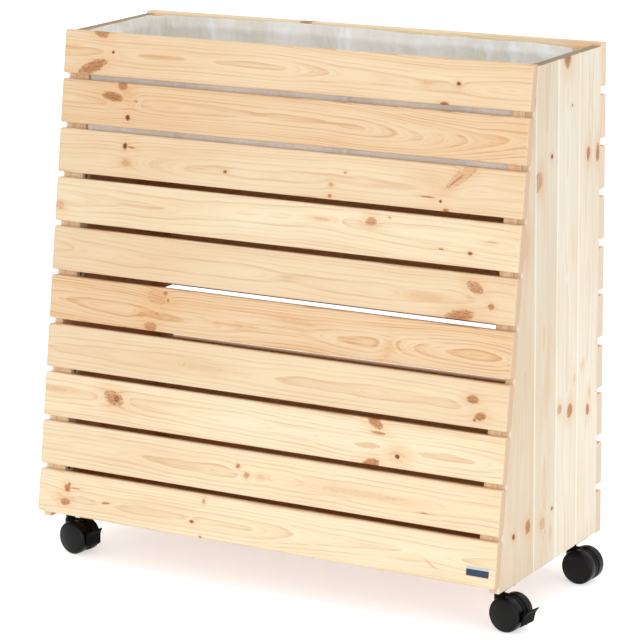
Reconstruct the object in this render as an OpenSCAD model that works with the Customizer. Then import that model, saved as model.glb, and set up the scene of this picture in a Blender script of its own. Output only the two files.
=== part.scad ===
// Rolling planter: a slatted box with a leaning front and a lined trough, on four twin-wheel casters.
// X runs along the box, Y from the leaning front to the upright back, Z up from the ground.
// The origin is on the ground, under the middle of the box.

/* [Box] */
// Length over the ends of the slats
length = 910; // [800:5:1000]
// Depth at the rim, over the outer faces of both slatted sides
top_depth = 276; // [250:1:320]
// Height of the end walls
wall_h = 852; // [840:1:900]
// Lean of the front from the vertical, in degrees
lean = 9; // [7:0.5:11]

/* [Slats] */
// Height of every slat
slat_h = 74; // [68:0.5:78]
// Thickness of the front slats
slat_t = 18; // [16:0.5:21]
// Thickness of the back slats
back_slat_t = 20; // [16:0.5:24]
// Radius of the slats' rounded long edges
slat_ease = 2.5; // [1:0.5:4]
// Slats in the upper panel of each side
upper_slats = 6; // [5:1:6]
// Slats in the lower panel of each side
lower_slats = 4; // [3:1:4]
// Height of the lowest front slat above the foot of the end walls
front_clear = 10; // [4:0.5:16]
// Rise of the top back slat above the end walls
back_rise = 4.5; // [1:0.5:8]
// Drop of the lowest back slat below the foot of the end walls
back_drop = 2; // [0.5:0.5:4]
// Gap between the upper and the lower back panel
back_split = 14.5; // [8:0.5:20]

/* [End walls] */
// Thickness of the upright boards
end_t = 18; // [16:0.5:20]
// Distance from the rim down to the tip of the tapered front board
tip_drop = 39.5; // [30:0.5:50]
// Width of the bevel on each side of a V joint
vee = 3.5; // [1:0.5:4]
// Thickness of the tongue
tongue_t = 5; // [4:0.5:6]
// Length of the tongue
tongue_l = 5.5; // [4:0.5:6]
// Room left around a tongue in its groove
groove_room = 0.3; // [0.2:0.1:0.5]

/* [Frame] */
// Side of the square battens, and thickness of the cleats
batten = 24; // [22:0.5:26]
// Distance from the rim down to the top of a batten
batten_drop = 3; // [1:0.5:8]
// Thickness of the base rails
rail_t = 28; // [27:0.5:31]
// Height of the base rails
rail_h = 45; // [40:1:60]

/* [Trough] */
// Depth from the rim to the top of the floor boards
trough_depth = 200; // [180:1:225]
// Thickness of the boards of the trough's floor and of the base
floor_t = 18; // [15:0.5:21]
// Drain gap between two floor boards
floor_gap = 6; // [3:0.5:10]
// Thickness of the liner sheet
liner_t = 1; // [0.8:0.1:1.5]
// Distance from the rim down to the liner's top edge
liner_drop = 1.5; // [1:0.5:10]
// Depth of the liner's main folds
fold_depth = 3.5; // [1:0.5:5]
// Space between two folds of the liner
fold_pitch = 92; // [70:1:120]

/* [Screws] */
// Diameter of the wood screws
screw_d = 3.5; // [3:0.1:4]
// Length of the wood screws
screw_l = 36; // [32:0.5:38]
// Diameter of a countersunk head
screw_head_d = 7; // [6:0.1:8]
// Height of a countersunk head
screw_head_h = 2.2; // [1.8:0.1:2.8]
// Diameter of the caster screws
fix_d = 4; // [3.5:0.1:4.2]
// Length of the caster screws below the head
fix_l = 20; // [16:0.5:24]

/* [Casters] */
// Height from the ground to the mounting face
caster_h = 75; // [74:0.5:80]
// Diameter of a wheel
wheel_d = 60; // [57:0.5:61]
// Width over both wheels
caster_w = 56; // [53:0.5:60]
// Distance from the swivel axis back to the axle
trail = 22; // [20:0.5:24]
// Distance from the swivel axis to the box's end
caster_inset = 23.5; // [22:0.5:25]
// Distance from the swivel axes to the foot of the front and back
caster_setback = 67; // [64:0.5:80]
// Side of the square mounting plate
plate_w = 42; // [40:0.5:44]
// Thickness of the mounting plate
plate_t = 2.5; // [2:0.1:3]
// Spacing of the plate's four holes
hole_pitch = 32; // [30:0.5:33]
// Diameter of the swivel stem
stem_d = 8; // [7:0.1:9]
// Thickness of the housing between the wheels
web_t = 12; // [11.5:0.1:14]
// Diameter of the axle
axle_d = 6; // [5:0.1:7]
// Radial running clearance of stem, axle and pedal pin
run_fit = 0.05; // [0.03:0.01:0.1]
// Width of the brake pedal
pedal_w = 35; // [30:0.5:40]
// Travel of the brake pedal, in degrees
pedal_travel = 12; // [8:1:14]

/* [Label] */
// Width of the blank label
label_w = 41; // [30:0.5:50]
// Height of the blank label
label_h = 15.5; // [12:0.5:20]
// Thickness of the blank label
label_t = 0.6; // [0.4:0.1:1]
// Distance from the label's middle to the box's end
label_inset = 33; // [28:0.5:60]

/* [Hidden] */
$fn = 48;
cut = 1;
seat = 0.2;
sides = [-1, 1];

slat_count = upper_slats + lower_slats;
board_count = 4;
floor_board_count = 3;
box_z = caster_h;
rim_z = box_z + wall_h;

// Slat spacing along the leaning front and up the back.
front_pitch = ((wall_h - front_clear) / cos(lean) - slat_h) / (slat_count - 1);
front_gap = front_pitch - slat_h;
back_span = wall_h + back_rise + back_drop;
back_gap = (back_span - slat_count * slat_h - back_split) / (slat_count - 2);
back_pitch = slat_h + back_gap;
// How far each back slat was fixed off the even spacing, from the top slat down.
back_shift = [0, -0.8, -1.3, -1.3, -2.8, 0.8, -0.7, 1.8, 0.8, 0];

// Depth: the back face and the front's foot lie equally far from the origin.
overall_depth = top_depth + (wall_h - front_clear) * tan(lean);
back_y = overall_depth / 2;
back_in = back_y - back_slat_t;
front_y = back_y - top_depth + slat_t * cos(lean);
front_foot_y = front_y - wall_h * tan(lean);

end_in = length / 2 - end_t;
batten_x = end_in - batten / 2;
floor_z = rim_z - trough_depth;
cleat_z = floor_z - floor_t - batten;
base_z = box_z + rail_h + floor_t;
floor_edge = 2;

// Visible width of a board between two V joints, and blunt upper tip of the tapered front board.
board_w = (back_in - front_y + tip_drop * tan(lean)) / (board_count - 1);
tip_w = 1.5;

// Plate, neck and pedal of a caster, measured from the swivel axis and the mounting face.
plate_corner = 5;
plate_hole_d = fix_d + 0.3;
race_d = 22;
race_t = 1.5;
race_room = 0.4;
neck_d = 17;
neck_l = 16;
stem_l = 22;
stem_room = 0.5;
wheel_r = wheel_d / 2;
axle_z = wheel_r - caster_h;
side_room = 1;
wheel_in = web_t / 2 + side_room;
crown_h = 2;
shoulder_r = 6;
hub_d = 16;
hub_recess = 8;
rim_t = 5;
cap_t = 3.5;
axle_room = 0.5;
web_r = wheel_r - 1.5;
web_foot = 10;
pedal_pin_back = 22.5;
pedal_pin_drop = 11;
pedal_pin = [trail + pedal_pin_back, axle_z - pedal_pin_drop];
pedal_pin_d = 4;
pedal_boss_r = 3.2;
pedal_slot_h = 19;
pedal_slot_drop = 8;
pedal_slot = web_t - 6.6;
pedal_room = 0.4;
pedal_gap = 1.3;
pedal_t = 3.2;

// Corners of the pedal's pad and tread: how far below and above the axle, and behind it.
pad_foot = 14;
pad_heel = 10;
pad_knee = 7;
pad_crest = 11;
tread_reach = 39;
tread_rise = 15;
tread_lip = 2.2;
tread_back = 0.8;

fix_head_d = 7.6;
fix_head_h = 2.2;
fix_pilot_room = 0.05;
label_corner = 1.5;

board_y = [for (n = [0 : board_count]) n < board_count ? back_in - n * board_w : front_foot_y - cut];
caster_y = [-overall_depth / 2 + caster_setback, overall_depth / 2 - caster_setback];
// Name, side, row (0 front, 1 back), heading of the trailing wheels, and whether it has a brake.
casters = [
    ["front_right", 1, 0, -8, true],
    ["front_left", -1, 0, -9, true],
    ["back_right", 1, 1, -4, false],
    ["back_left", -1, 1, 200, false]
];
// The front right brake is pressed down; the front left one is up.
pressed = [pedal_travel, 0];

function caster_at(c) = [c[1] * (length / 2 - caster_inset), caster_y[c[2]]];

wood = "#f2d9b4";
end_wood = "#efe3cb";
inner_wood = "#d9b98c";
black = "#1f1f1f";
zinc = "#b9bdc1";
foil = "#d4d4d0";
navy = "#27405c";

// Places children on the leaning front: Y = 0 is the slats' inner face, Z = 0 the rim.
module on_front() {
    translate([0, front_y, rim_z])
        rotate([-lean, 0, 0])
            children();
}

// Turns the frame of on_front into the box's own [y, z].
function from_front(y, z) = [front_y + y * cos(lean) + z * sin(lean), rim_z - y * sin(lean) + z * cos(lean)];

// Y of a plane at height z that lies the given distance behind the front slats' inner face.
function front_plane(z, behind) = front_y + behind / cos(lean) - (rim_z - z) * tan(lean);

// Height of the foot of back slat n.
function back_slat_z(n) = back_shift[n - 1]
    + (n > upper_slats
        ? box_z - back_drop + (slat_count - n) * back_pitch
        : rim_z + back_rise - slat_h - (n - 1) * back_pitch);

// Place of the foot of front slat n along the lean, measured up from the rim.
function front_slat_z(n) = -(n - 1) * front_pitch - slat_h;

// Middle of the gap under slat n, as [y, z], on the middle line of the battens.
function front_gap_at(n) = from_front(batten / 2, front_slat_z(n) - front_gap / 2);
function back_gap_at(n) = [back_in - batten / 2, back_slat_z(n) - back_gap / 2];

// A cleat or rail is screwed to the middle of each board that is wide enough behind it.
least_run = 3 * screw_head_d;
cleat_mid = cleat_z + batten / 2;
rail_mid = box_z + rail_h * 0.7;

function board_run(n, z) = [max(board_y[n], front_plane(z, batten)), min(board_y[n - 1], back_in - batten)];
function board_screws(z) =
    [for (n = [1 : board_count])
        let (run = board_run(n, z))
        if (run[1] - run[0] > least_run) [(run[0] + run[1]) / 2, z]];

// Where screws run through a batten, cleat or rail into the end boards, as [y, z].
side_screws = concat(
    [for (n = [1 : 2 : upper_slats - 1]) front_gap_at(n)],
    [for (n = [upper_slats + 1 : 2 : slat_count - 1]) front_gap_at(n)],
    [for (n = [1 : 2 : upper_slats - 1]) back_gap_at(n)],
    [for (n = [upper_slats + 1 : 2 : slat_count - 1]) back_gap_at(n)],
    board_screws(cleat_mid),
    board_screws(rail_mid)
);

// Half profile of a countersunk screw, grown by room; the pocket above its head is as deep as asked.
module screw_form(room, pocket) {
    shaft = screw_d / 2 + room;
    head = screw_head_d / 2 + room;
    rotate_extrude()
        polygon([[0, -pocket], [head, -pocket], [head, 0], [shaft, screw_head_h], [shaft, screw_l + room],
                 [0, screw_l + room]]);
}

// Wood screw along +Z with the face of its head at Z = 0.
module wood_screw() {
    rotate_extrude()
        polygon([[0, 0], [screw_head_d / 2, 0], [screw_d / 2, screw_head_h],
                 [screw_d / 2, screw_l - screw_d], [0, screw_l]]);
}

// Children at each screw through the battens into the front slats, on one side.
module at_front_screws(side, first, last) {
    for (n = [first : last])
        on_front()
            translate([side * batten_x, batten, front_slat_z(n) + slat_h / 2])
                rotate([90, 0, 0])
                    children();
}

// Children at each screw through the battens into the back slats, on one side.
module at_back_screws(side, first, last) {
    for (n = [first : last])
        translate([side * batten_x, back_in - batten, back_slat_z(n) + slat_h / 2])
            rotate([-90, 0, 0])
                children();
}

// Children at each screw into one end wall whose height or depth lies in the given range.
module at_side_screws(side, y0, y1, z0, z1) {
    for (p = side_screws)
        if (p[0] > y0 && p[0] < y1 && p[1] > z0 && p[1] < z1)
            translate([side * (end_in - batten), p[0], p[1]])
                rotate([0, side * 90, 0])
                    children();
}

// Children at each screw of the caster plates, on the mounting face.
module at_caster_screws() {
    for (c = casters)
        translate([caster_at(c)[0], caster_at(c)[1], box_z - plate_t])
            for (x = sides, y = sides)
                translate([x * hole_pitch / 2, y * hole_pitch / 2, 0])
                    children();
}

// Rectangle with four round corners, centred.
module eased_rect(w, h, r) {
    square([w - 2 * r, h], center = true);
    square([w, h - 2 * r], center = true);
    for (x = sides, y = sides)
        translate([x * (w / 2 - r), y * (h / 2 - r)])
            circle(r);
}

// Slat along X, centred, with its four long edges rounded.
module slat(thickness) {
    rotate([90, 0, 90])
        linear_extrude(height = length, center = true)
            eased_rect(thickness, slat_h, slat_ease);
}

module front_slat(n) {
    color(wood)
        difference() {
            on_front()
                translate([0, -slat_t / 2, front_slat_z(n) + slat_h / 2])
                    slat(slat_t);
            for (side = sides)
                at_front_screws(side, n, n)
                    screw_form(run_fit, 0);
        }
}

module back_slat(n) {
    color(wood)
        difference() {
            translate([0, back_in + back_slat_t / 2, back_slat_z(n) + slat_h / 2])
                slat(back_slat_t);
            for (side = sides)
                at_back_screws(side, n, n)
                    screw_form(run_fit, 0);
        }
}

// Side view of an end wall, extruded along X to cover the thickness of its boards.
module wall_outline(top) {
    rotate([90, 0, 90])
        linear_extrude(height = length, center = true)
            polygon([[back_in, box_z], [back_in, top], [front_plane(top, 0), top], [front_foot_y, box_z]]);
}

// Section of board n seen from above: a groove at its front edge and a tongue at its rear edge.
module board_section(n) {
    front = board_y[n];
    rear = board_y[n - 1];
    x1 = length / 2;
    x0 = end_in;
    mid = (x0 + x1) / 2;
    tongue = n > 1
        ? [[x1 - vee, rear], [mid + tongue_t / 2, rear], [mid + tongue_t / 2, rear + tongue_l],
           [mid - tongue_t / 2, rear + tongue_l], [mid - tongue_t / 2, rear]]
        : [[x1, rear]];
    bevel = n > 1 ? [[x1, rear - vee]] : [];
    groove_t = tongue_t / 2 + groove_room;
    groove = n < board_count
        ? [[mid - groove_t, front], [mid - groove_t, front + tongue_l + groove_room],
           [mid + groove_t, front + tongue_l + groove_room], [mid + groove_t, front],
           [x1 - vee, front], [x1, front + vee]]
        : [[x1, front]];
    polygon(concat(bevel, tongue, [[x0, rear], [x0, front]], groove));
}

// Upright tongue-and-groove board n of an end wall, counted from the back.
module end_board(side, n) {
    // The tapered front board stops where it is still tip_w wide.
    tip_z = rim_z - (front_y - board_y[board_count - 1] + tip_w) / tan(lean);
    top = n < board_count ? rim_z : tip_z;
    color(end_wood)
        mirror([side < 0 ? 1 : 0, 0, 0])
            difference() {
                intersection() {
                    translate([0, 0, box_z - cut])
                        linear_extrude(height = wall_h + 2 * cut)
                            board_section(n);
                    wall_outline(top);
                }
                at_side_screws(1, board_y[n] - batten, board_y[n - 1] + batten, box_z, rim_z)
                    screw_form(run_fit, 0);
                at_caster_screws()
                    cylinder(d = fix_d + 2 * fix_pilot_room, h = plate_t + fix_l + fix_pilot_room);
            }
}

// Pair of upright battens behind the front slats, from slat first to slat last.
module front_battens(first, last) {
    head = first == 1 ? -batten_drop : front_slat_z(first) + slat_h;
    foot = front_slat_z(last);
    color(inner_wood)
        for (side = sides)
            difference() {
                on_front()
                    translate([side * batten_x - batten / 2, 0, foot])
                        cube([batten, batten, head - foot]);
                at_front_screws(side, first, last)
                    screw_form(run_fit, cut);
                at_side_screws(side, front_foot_y, back_in - 2 * batten, foot + rim_z, head + rim_z)
                    screw_form(run_fit, cut);
            }
}

// Pair of upright battens behind the back slats, from slat first to slat last.
module back_battens(first, last) {
    head = first == 1 ? rim_z - batten_drop : back_slat_z(first) + slat_h;
    foot = last == slat_count ? box_z : back_slat_z(last);
    color(inner_wood)
        for (side = sides)
            difference() {
                translate([side * batten_x - batten / 2, back_in - batten, foot])
                    cube([batten, batten, head - foot]);
                at_back_screws(side, first, last)
                    screw_form(run_fit, cut);
                at_side_screws(side, back_in - batten, back_in, foot, head)
                    screw_form(run_fit, cut);
            }
}

// Rail along the inside of an end wall, between the front and the back battens.
module cross_rail(side, foot, height, thickness) {
    pocket = thickness - batten;
    color(inner_wood)
        difference() {
            mirror([side < 0 ? 1 : 0, 0, 0])
                translate([end_in - thickness, 0, 0])
                    rotate([90, 0, 90])
                        linear_extrude(height = thickness)
                            polygon([[back_in - batten, foot], [back_in - batten, foot + height],
                                     [front_plane(foot + height, batten), foot + height],
                                     [front_plane(foot, batten), foot]]);
            at_side_screws(side, front_foot_y, back_in - batten, foot, foot + height)
                screw_form(run_fit, pocket + cut);
            at_caster_screws()
                cylinder(d = fix_d + 2 * fix_pilot_room, h = plate_t + fix_l + fix_pilot_room);
        }
}

// Room for the four battens that pass a floor whose top is at the given height.
module batten_room(top) {
    for (side = sides) {
        translate([side * batten_x - batten / 2 - seat, back_in - batten - seat, top - floor_t - cut])
            cube([batten + 2 * seat, batten + cut, floor_t + 2 * cut]);
        on_front()
            translate([side * batten_x - batten / 2 - seat, -cut, -wall_h])
                cube([batten + 2 * seat, batten + cut + seat, wall_h]);
    }
}

// Three boards along X that rest on the cleats or the base rails, notched around the battens.
module floor_boards(top) {
    rear = back_in - seat;
    front = front_plane(top, 0) + floor_edge;
    width = (rear - front - (floor_board_count - 1) * floor_gap) / floor_board_count;
    board_l = 2 * (end_in - seat);
    color(inner_wood)
        for (i = [0 : floor_board_count - 1])
            difference() {
                translate([-board_l / 2, front + i * (width + floor_gap), top - floor_t])
                    cube([board_l, width, floor_t]);
                batten_room(top);
            }
}

// Liner: one sheet folded into an open bag that follows the walls and steps around the battens.
long_count = 36;
short_count = 7;
liner_levels = [0, 0.12, 0.5, 0.84, 1];
// The sheet's foot is drawn in, and more at the front, because the front wall overhangs the floor.
foot_draw = 1;
front_draw = 8;
liner_foot = floor_z + seat;
liner_top = rim_z - liner_drop;

function mix(a, b, t) = a + (b - a) * t;

function run_of(a, b, count, dir, folds) =
    [for (i = [0 : count - 1]) [mix(a, b, i / count), dir, folds ? i / count : 0]];

// Depth of a fold: soft ridges at fold_pitch along a side of the given length, fading towards the foot.
function fold_at(t, along, level) =
    fold_depth * pow(sin(180 * t * round(along / fold_pitch)), 2) * (0.25 + 0.75 * pow(sin(90 * level), 2))
        * min(1, 12 * t * (1 - t));

// Ring of the liner at one level, drawn in from the walls by the given distance.
function liner_ring(level, inner) =
    let (z = mix(liner_foot, liner_top, level),
         off = seat + inner + (level == 0 ? foot_draw : 0),
         off_front = off + (level == 0 ? front_draw : 0),
         xo = end_in - off,
         xb = xo - batten,
         yr = back_in - off,
         yb = yr - batten,
         yf = front_plane(z, off_front),
         yc = front_plane(z, off_front + batten),
         runs = concat(
             run_of([xb, yr], [-xb, yr], long_count, [0, -1], true),
             run_of([-xb, yr], [-xb, yb], 1, [0, 0], false),
             run_of([-xb, yb], [-xo, yb], 1, [0, 0], false),
             run_of([-xo, yb], [-xo, yc], short_count, [1, 0], true),
             run_of([-xo, yc], [-xb, yc], 1, [0, 0], false),
             run_of([-xb, yc], [-xb, yf], 1, [0, 0], false),
             run_of([-xb, yf], [xb, yf], long_count, [0, 1], true),
             run_of([xb, yf], [xb, yc], 1, [0, 0], false),
             run_of([xb, yc], [xo, yc], 1, [0, 0], false),
             run_of([xo, yc], [xo, yb], short_count, [-1, 0], true),
             run_of([xo, yb], [xb, yb], 1, [0, 0], false),
             run_of([xb, yb], [xb, yr], 1, [0, 0], false)))
    [for (r = runs)
        let (along = abs(r[1][1]) > 0 ? 2 * xb : yb - yc,
             d = fold_at(r[2], along, level))
        [r[0][0] + d * r[1][0], r[0][1] + d * r[1][1], z]];

module liner() {
    levels = len(liner_levels);
    count = 2 * long_count + 2 * short_count + 8;
    outer = [for (l = liner_levels) each liner_ring(l, 0)];
    inner = [for (i = [0 : levels - 1])
        each [for (p = liner_ring(liner_levels[i], liner_t)) [p[0], p[1], i == 0 ? p[2] + liner_t : p[2]]]];
    mid_y = (back_in + front_plane(liner_foot, 0)) / 2;
    points = concat(outer, inner, [[0, mid_y, liner_foot], [0, mid_y, liner_foot + liner_t]]);
    step = levels * count;
    faces = concat(
        [for (i = [0 : levels - 2], j = [0 : count - 1])
            let (a = i * count + j, b = i * count + (j + 1) % count)
            each [[a, a + count, b + count], [a, b + count, b]]],
        [for (i = [0 : levels - 2], j = [0 : count - 1])
            let (a = step + i * count + j, b = step + i * count + (j + 1) % count)
            each [[a, b + count, a + count], [a, b, b + count]]],
        [for (j = [0 : count - 1])
            let (a = step - count + j, b = step - count + (j + 1) % count)
            each [[a, a + step, b + step], [a, b + step, b]]],
        [for (j = [0 : count - 1])
            let (b = (j + 1) % count)
            each [[2 * step, j, b], [2 * step + 1, step + b, step + j]]]);
    color(foil)
        polyhedron(points, faces);
}

module label_plate() {
    on_front()
        translate([length / 2 - label_inset, -slat_t, front_slat_z(slat_count) + slat_h / 3])
            rotate([90, 0, 0])
                color(navy)
                    linear_extrude(height = label_t)
                        eased_rect(label_w, label_h, label_corner);
}

// Every wood screw: slats to battens, and battens, cleats and rails to the end boards.
module wood_screws() {
    color(zinc)
        for (side = sides) {
            at_front_screws(side, 1, slat_count)
                wood_screw();
            at_back_screws(side, 1, slat_count)
                wood_screw();
            at_side_screws(side, front_foot_y, back_y, box_z, rim_z)
                wood_screw();
        }
}

// Children in a caster's own frame: swivel axis on Z, mounting face at Z = 0, wheels trailing along +X.
module at_caster(c) {
    translate([caster_at(c)[0], caster_at(c)[1], box_z])
        rotate([0, 0, c[3]])
            children();
}

// Square plate with its race and the stem riveted into it, screwed under the box.
module caster_plate() {
    translate([0, 0, -plate_t])
        difference() {
            linear_extrude(height = plate_t)
                eased_rect(plate_w, plate_w, plate_corner);
            for (x = sides, y = sides)
                translate([x * hole_pitch / 2, y * hole_pitch / 2, -cut])
                    cylinder(d = plate_hole_d, h = plate_t + 2 * cut);
        }
    translate([0, 0, -plate_t - race_t])
        cylinder(d = race_d, h = race_t);
    translate([0, 0, -stem_l])
        cylinder(d = stem_d, h = stem_l - plate_t);
}

module caster_plates() {
    color(zinc)
        for (c = casters)
            translate([caster_at(c)[0], caster_at(c)[1], box_z])
                caster_plate();
}

// Pan-head screws up through the plates into the end walls and base rails.
module caster_screws() {
    color(zinc)
        at_caster_screws() {
            translate([0, 0, -fix_head_h])
                cylinder(d = fix_head_d, h = fix_head_h);
            cylinder(d = fix_d, h = plate_t + fix_l - fix_d);
            translate([0, 0, plate_t + fix_l - fix_d])
                cylinder(d1 = fix_d, d2 = fix_d / 8, h = fix_d);
        }
}

// Cylinder along Y, centred on a point of the caster's own X-Z plane.
module cross_pin(at, d, w) {
    translate([at[0], w / 2, at[1]])
        rotate([90, 0, 0])
            cylinder(d = d, h = w);
}

// Plate of the given outline in the caster's X-Z plane, centred on Y = 0.
module upright(w) {
    translate([0, w / 2, 0])
        rotate([90, 0, 0])
            linear_extrude(height = w)
                children();
}

// Moulded housing: a neck around the stem and a round web between the wheels.
module housing(brake) {
    neck_top = -plate_t - race_t - race_room;
    lead = -neck_d / 2;
    color(black)
        difference() {
            union() {
                translate([0, 0, -neck_l])
                    cylinder(d = neck_d, h = neck_l + neck_top);
                upright(web_t) {
                    intersection() {
                        translate([trail, axle_z])
                            circle(web_r, $fn = 96);
                        translate([trail - wheel_r, web_foot - caster_h])
                            square([wheel_d, caster_h]);
                    }
                    polygon([[lead, -neck_l + cut], [lead, axle_z + wheel_r / 2], [lead + 4, axle_z],
                             [trail, axle_z], [trail, axle_z + web_r], [-lead, -neck_l + cut]]);
                }
            }
            translate([0, 0, -stem_l - stem_room])
                cylinder(d = stem_d + 2 * run_fit, h = stem_l + stem_room);
            cross_pin([trail, axle_z], axle_d + 2 * run_fit, web_t + 2 * cut);
            if (brake) {
                upright(pedal_slot)
                    translate([pedal_pin[0] - pedal_pin_d - pedal_room, pedal_pin[1] - pedal_slot_drop])
                        square([wheel_r, pedal_slot_h]);
                cross_pin(pedal_pin, pedal_pin_d + 2 * run_fit, web_t + 2 * cut);
            }
        }
}

axle_half = caster_w / 2 - crown_h - cap_t;

module axle() {
    color(zinc)
        cross_pin([trail, axle_z], axle_d, 2 * (axle_half - axle_room));
}

// Half profile of a wheel as [radius, distance from the caster's middle plane].
function wheel_profile() =
    let (out = caster_w / 2,
         shoulder = out - crown_h - shoulder_r,
         crown_r = wheel_r - shoulder_r,
         bore = axle_d / 2 + run_fit)
    concat(
        [[0, axle_half], [bore, axle_half], [bore, wheel_in], [hub_d / 2, wheel_in],
         [hub_d / 2, wheel_in + hub_recess], [wheel_r - rim_t, wheel_in + hub_recess],
         [wheel_r - rim_t, wheel_in], [wheel_r - 1, wheel_in], [wheel_r, wheel_in + 1]],
        [for (a = [0 : 15 : 90]) [crown_r + shoulder_r * cos(a), shoulder + shoulder_r * sin(a)]],
        [for (i = [1 : 5]) let (r = crown_r * (1 - i / 5)) [r, out - crown_h * pow(r / crown_r, 2)]]);

// Domed wheel with its cap moulded on; side is -1 for the near wheel and 1 for the far one.
module wheel(side) {
    color(black)
        translate([trail, 0, axle_z])
            rotate([-side * 90, 0, 0])
                rotate_extrude($fn = 96)
                    polygon(wheel_profile());
}

// Brake pedal: a tongue on a moulded pin, a pad behind the wheels and a tread blade.
module brake_pedal(angle) {
    pad = trail + wheel_r + pedal_gap;
    color(black)
        translate([pedal_pin[0], 0, pedal_pin[1]])
            rotate([0, angle, 0])
                translate([-pedal_pin[0], 0, -pedal_pin[1]]) {
                    cross_pin(pedal_pin, pedal_pin_d, web_t - 2 * pedal_room);
                    upright(pedal_slot - 2 * pedal_room) {
                        translate(pedal_pin)
                            circle(pedal_boss_r);
                        translate([pedal_pin[0], pedal_pin[1] - pedal_boss_r])
                            square([pad + pedal_t / 2 - pedal_pin[0], 2 * pedal_boss_r]);
                    }
                    upright(pedal_w)
                        polygon([[pad, axle_z - pad_foot], [pad + pedal_t, axle_z - pad_heel],
                                 [pad + pedal_t, axle_z + pad_knee],
                                 [trail + tread_reach, axle_z + tread_rise],
                                 [trail + tread_reach - tread_back, axle_z + tread_rise + tread_lip],
                                 [pad, axle_z + pad_crest]]);
                }
}

for (n = [1 : slat_count]) front_slat(n);
for (n = [1 : slat_count]) back_slat(n);
for (n = [1 : board_count]) end_board(-1, n);
for (n = [1 : board_count]) end_board(1, n);
front_battens(1, upper_slats);  // front_upper_battens
front_battens(upper_slats + 1, slat_count);  // front_lower_battens
back_battens(1, upper_slats);  // back_upper_battens
back_battens(upper_slats + 1, slat_count);  // back_lower_battens
for (side = sides) cross_rail(side, box_z, rail_h, rail_t);  // base_rails
floor_boards(base_z);  // base_floor
cross_rail(-1, cleat_z, batten, batten);  // left_floor_cleat
cross_rail(1, cleat_z, batten, batten);  // right_floor_cleat
floor_boards(floor_z);  // trough_floor
liner();
label_plate();
wood_screws();
caster_plates();
caster_screws();
for (c = casters) at_caster(c) housing(c[4]);
for (c = casters) at_caster(c) axle();
for (c = casters) at_caster(c) wheel(-1);
for (c = casters) at_caster(c) wheel(1);
at_caster(casters[0]) brake_pedal(pressed[0]);  // front_right_brake_pedal
at_caster(casters[1]) brake_pedal(pressed[1]);  // front_left_brake_pedal
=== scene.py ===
"""Rolling planter: the visual model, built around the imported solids.

Metres throughout, in the solids' own frame: X along the box, Y from the leaning front to the upright back, Z up.
The sections follow the object as it is put together: slats, end walls, frame, screws, liner, label, casters.
"""

import math

import bpy
import numpy as np
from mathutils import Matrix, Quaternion, Vector


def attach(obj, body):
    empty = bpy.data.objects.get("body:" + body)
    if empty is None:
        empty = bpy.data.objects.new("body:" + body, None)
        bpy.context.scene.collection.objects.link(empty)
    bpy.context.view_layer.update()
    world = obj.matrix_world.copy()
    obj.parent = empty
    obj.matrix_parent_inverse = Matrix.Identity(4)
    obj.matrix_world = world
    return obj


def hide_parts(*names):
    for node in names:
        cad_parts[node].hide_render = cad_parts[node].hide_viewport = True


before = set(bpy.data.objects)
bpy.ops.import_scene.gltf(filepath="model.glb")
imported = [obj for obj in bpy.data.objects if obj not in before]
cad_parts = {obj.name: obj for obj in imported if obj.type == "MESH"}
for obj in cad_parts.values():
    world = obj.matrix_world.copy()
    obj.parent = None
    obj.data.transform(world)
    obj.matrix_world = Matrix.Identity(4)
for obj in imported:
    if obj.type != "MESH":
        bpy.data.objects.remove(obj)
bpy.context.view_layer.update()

# ---------------------------------------------------------------------------------------------------------------
# Viewpoint. The camera stands where the photograph's perspective puts it: in front, to the right and above the
# rim, far off with a long lens, and turned a little about its own axis.
VIEW_PLACE = (2.5044, -4.2596, 1.6675)
VIEW_AZIMUTH = math.radians(30.333)
VIEW_ELEVATION = math.radians(13.912)
VIEW_ROLL = math.radians(-0.659)
LENS_MM = 165.2
SENSOR_MM = 36.0
FARTHEST = 100.0

camera = bpy.data.objects.new("viewpoint", bpy.data.cameras.new("viewpoint"))
bpy.context.scene.collection.objects.link(camera)
camera.data.sensor_width = SENSOR_MM
camera.data.lens = LENS_MM
camera.data.clip_end = FARTHEST
camera.location = VIEW_PLACE
towards_viewer = Vector((
    math.sin(VIEW_AZIMUTH) * math.cos(VIEW_ELEVATION),
    -math.cos(VIEW_AZIMUTH) * math.cos(VIEW_ELEVATION),
    math.sin(VIEW_ELEVATION)))
camera.rotation_mode = "QUATERNION"
camera.rotation_quaternion = towards_viewer.to_track_quat("Z", "Y") @ Quaternion((0, 0, 1), VIEW_ROLL)
bpy.context.scene.camera = camera

# ---------------------------------------------------------------------------------------------------------------
# Front slats. Ten planed spruce boards with softly rounded edges, the upper outer one the most, screwed from behind
# to battens inside the leaning front. Each is flat-sawn and has its own arches, knots and tint. Each stands a little
# above its solid, the top one the least, so that it stays inside the solids' box.
MM = 0.001
LENGTH = 0.910
HALF = LENGTH / 2
SLAT_H = 0.074
SLAT_T = 0.018
SLAT_COUNT = 10
SLAT_EASE = 0.0028
TOP_EDGE = 0.0042
TOP_RISE = 0.003
RIM_RISE = 0.0022
LEAN = math.radians(9)
WALL_FOOT = 0.075
RIM = 0.927
RIM_DEPTH = 0.276
SLATTED_H = 0.842
FRONT_PITCH = (SLATTED_H / math.cos(LEAN) - SLAT_H) / (SLAT_COUNT - 1)
BACK_OUTER_Y = (RIM_DEPTH + SLATTED_H * math.tan(LEAN)) / 2
FRONT_INNER_Y = BACK_OUTER_Y - RIM_DEPTH + SLAT_T * math.cos(LEAN)


def srgb(red, green, blue):
    """Colour written 0 to 255 as seen, turned to the linear value a shader takes."""
    seen = np.array([red, green, blue]) / 255
    linear = np.where(seen <= 0.04045, seen / 12.92, ((seen + 0.055) / 1.055) ** 2.4)
    return (*(float(c) for c in linear), 1.0)


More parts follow.
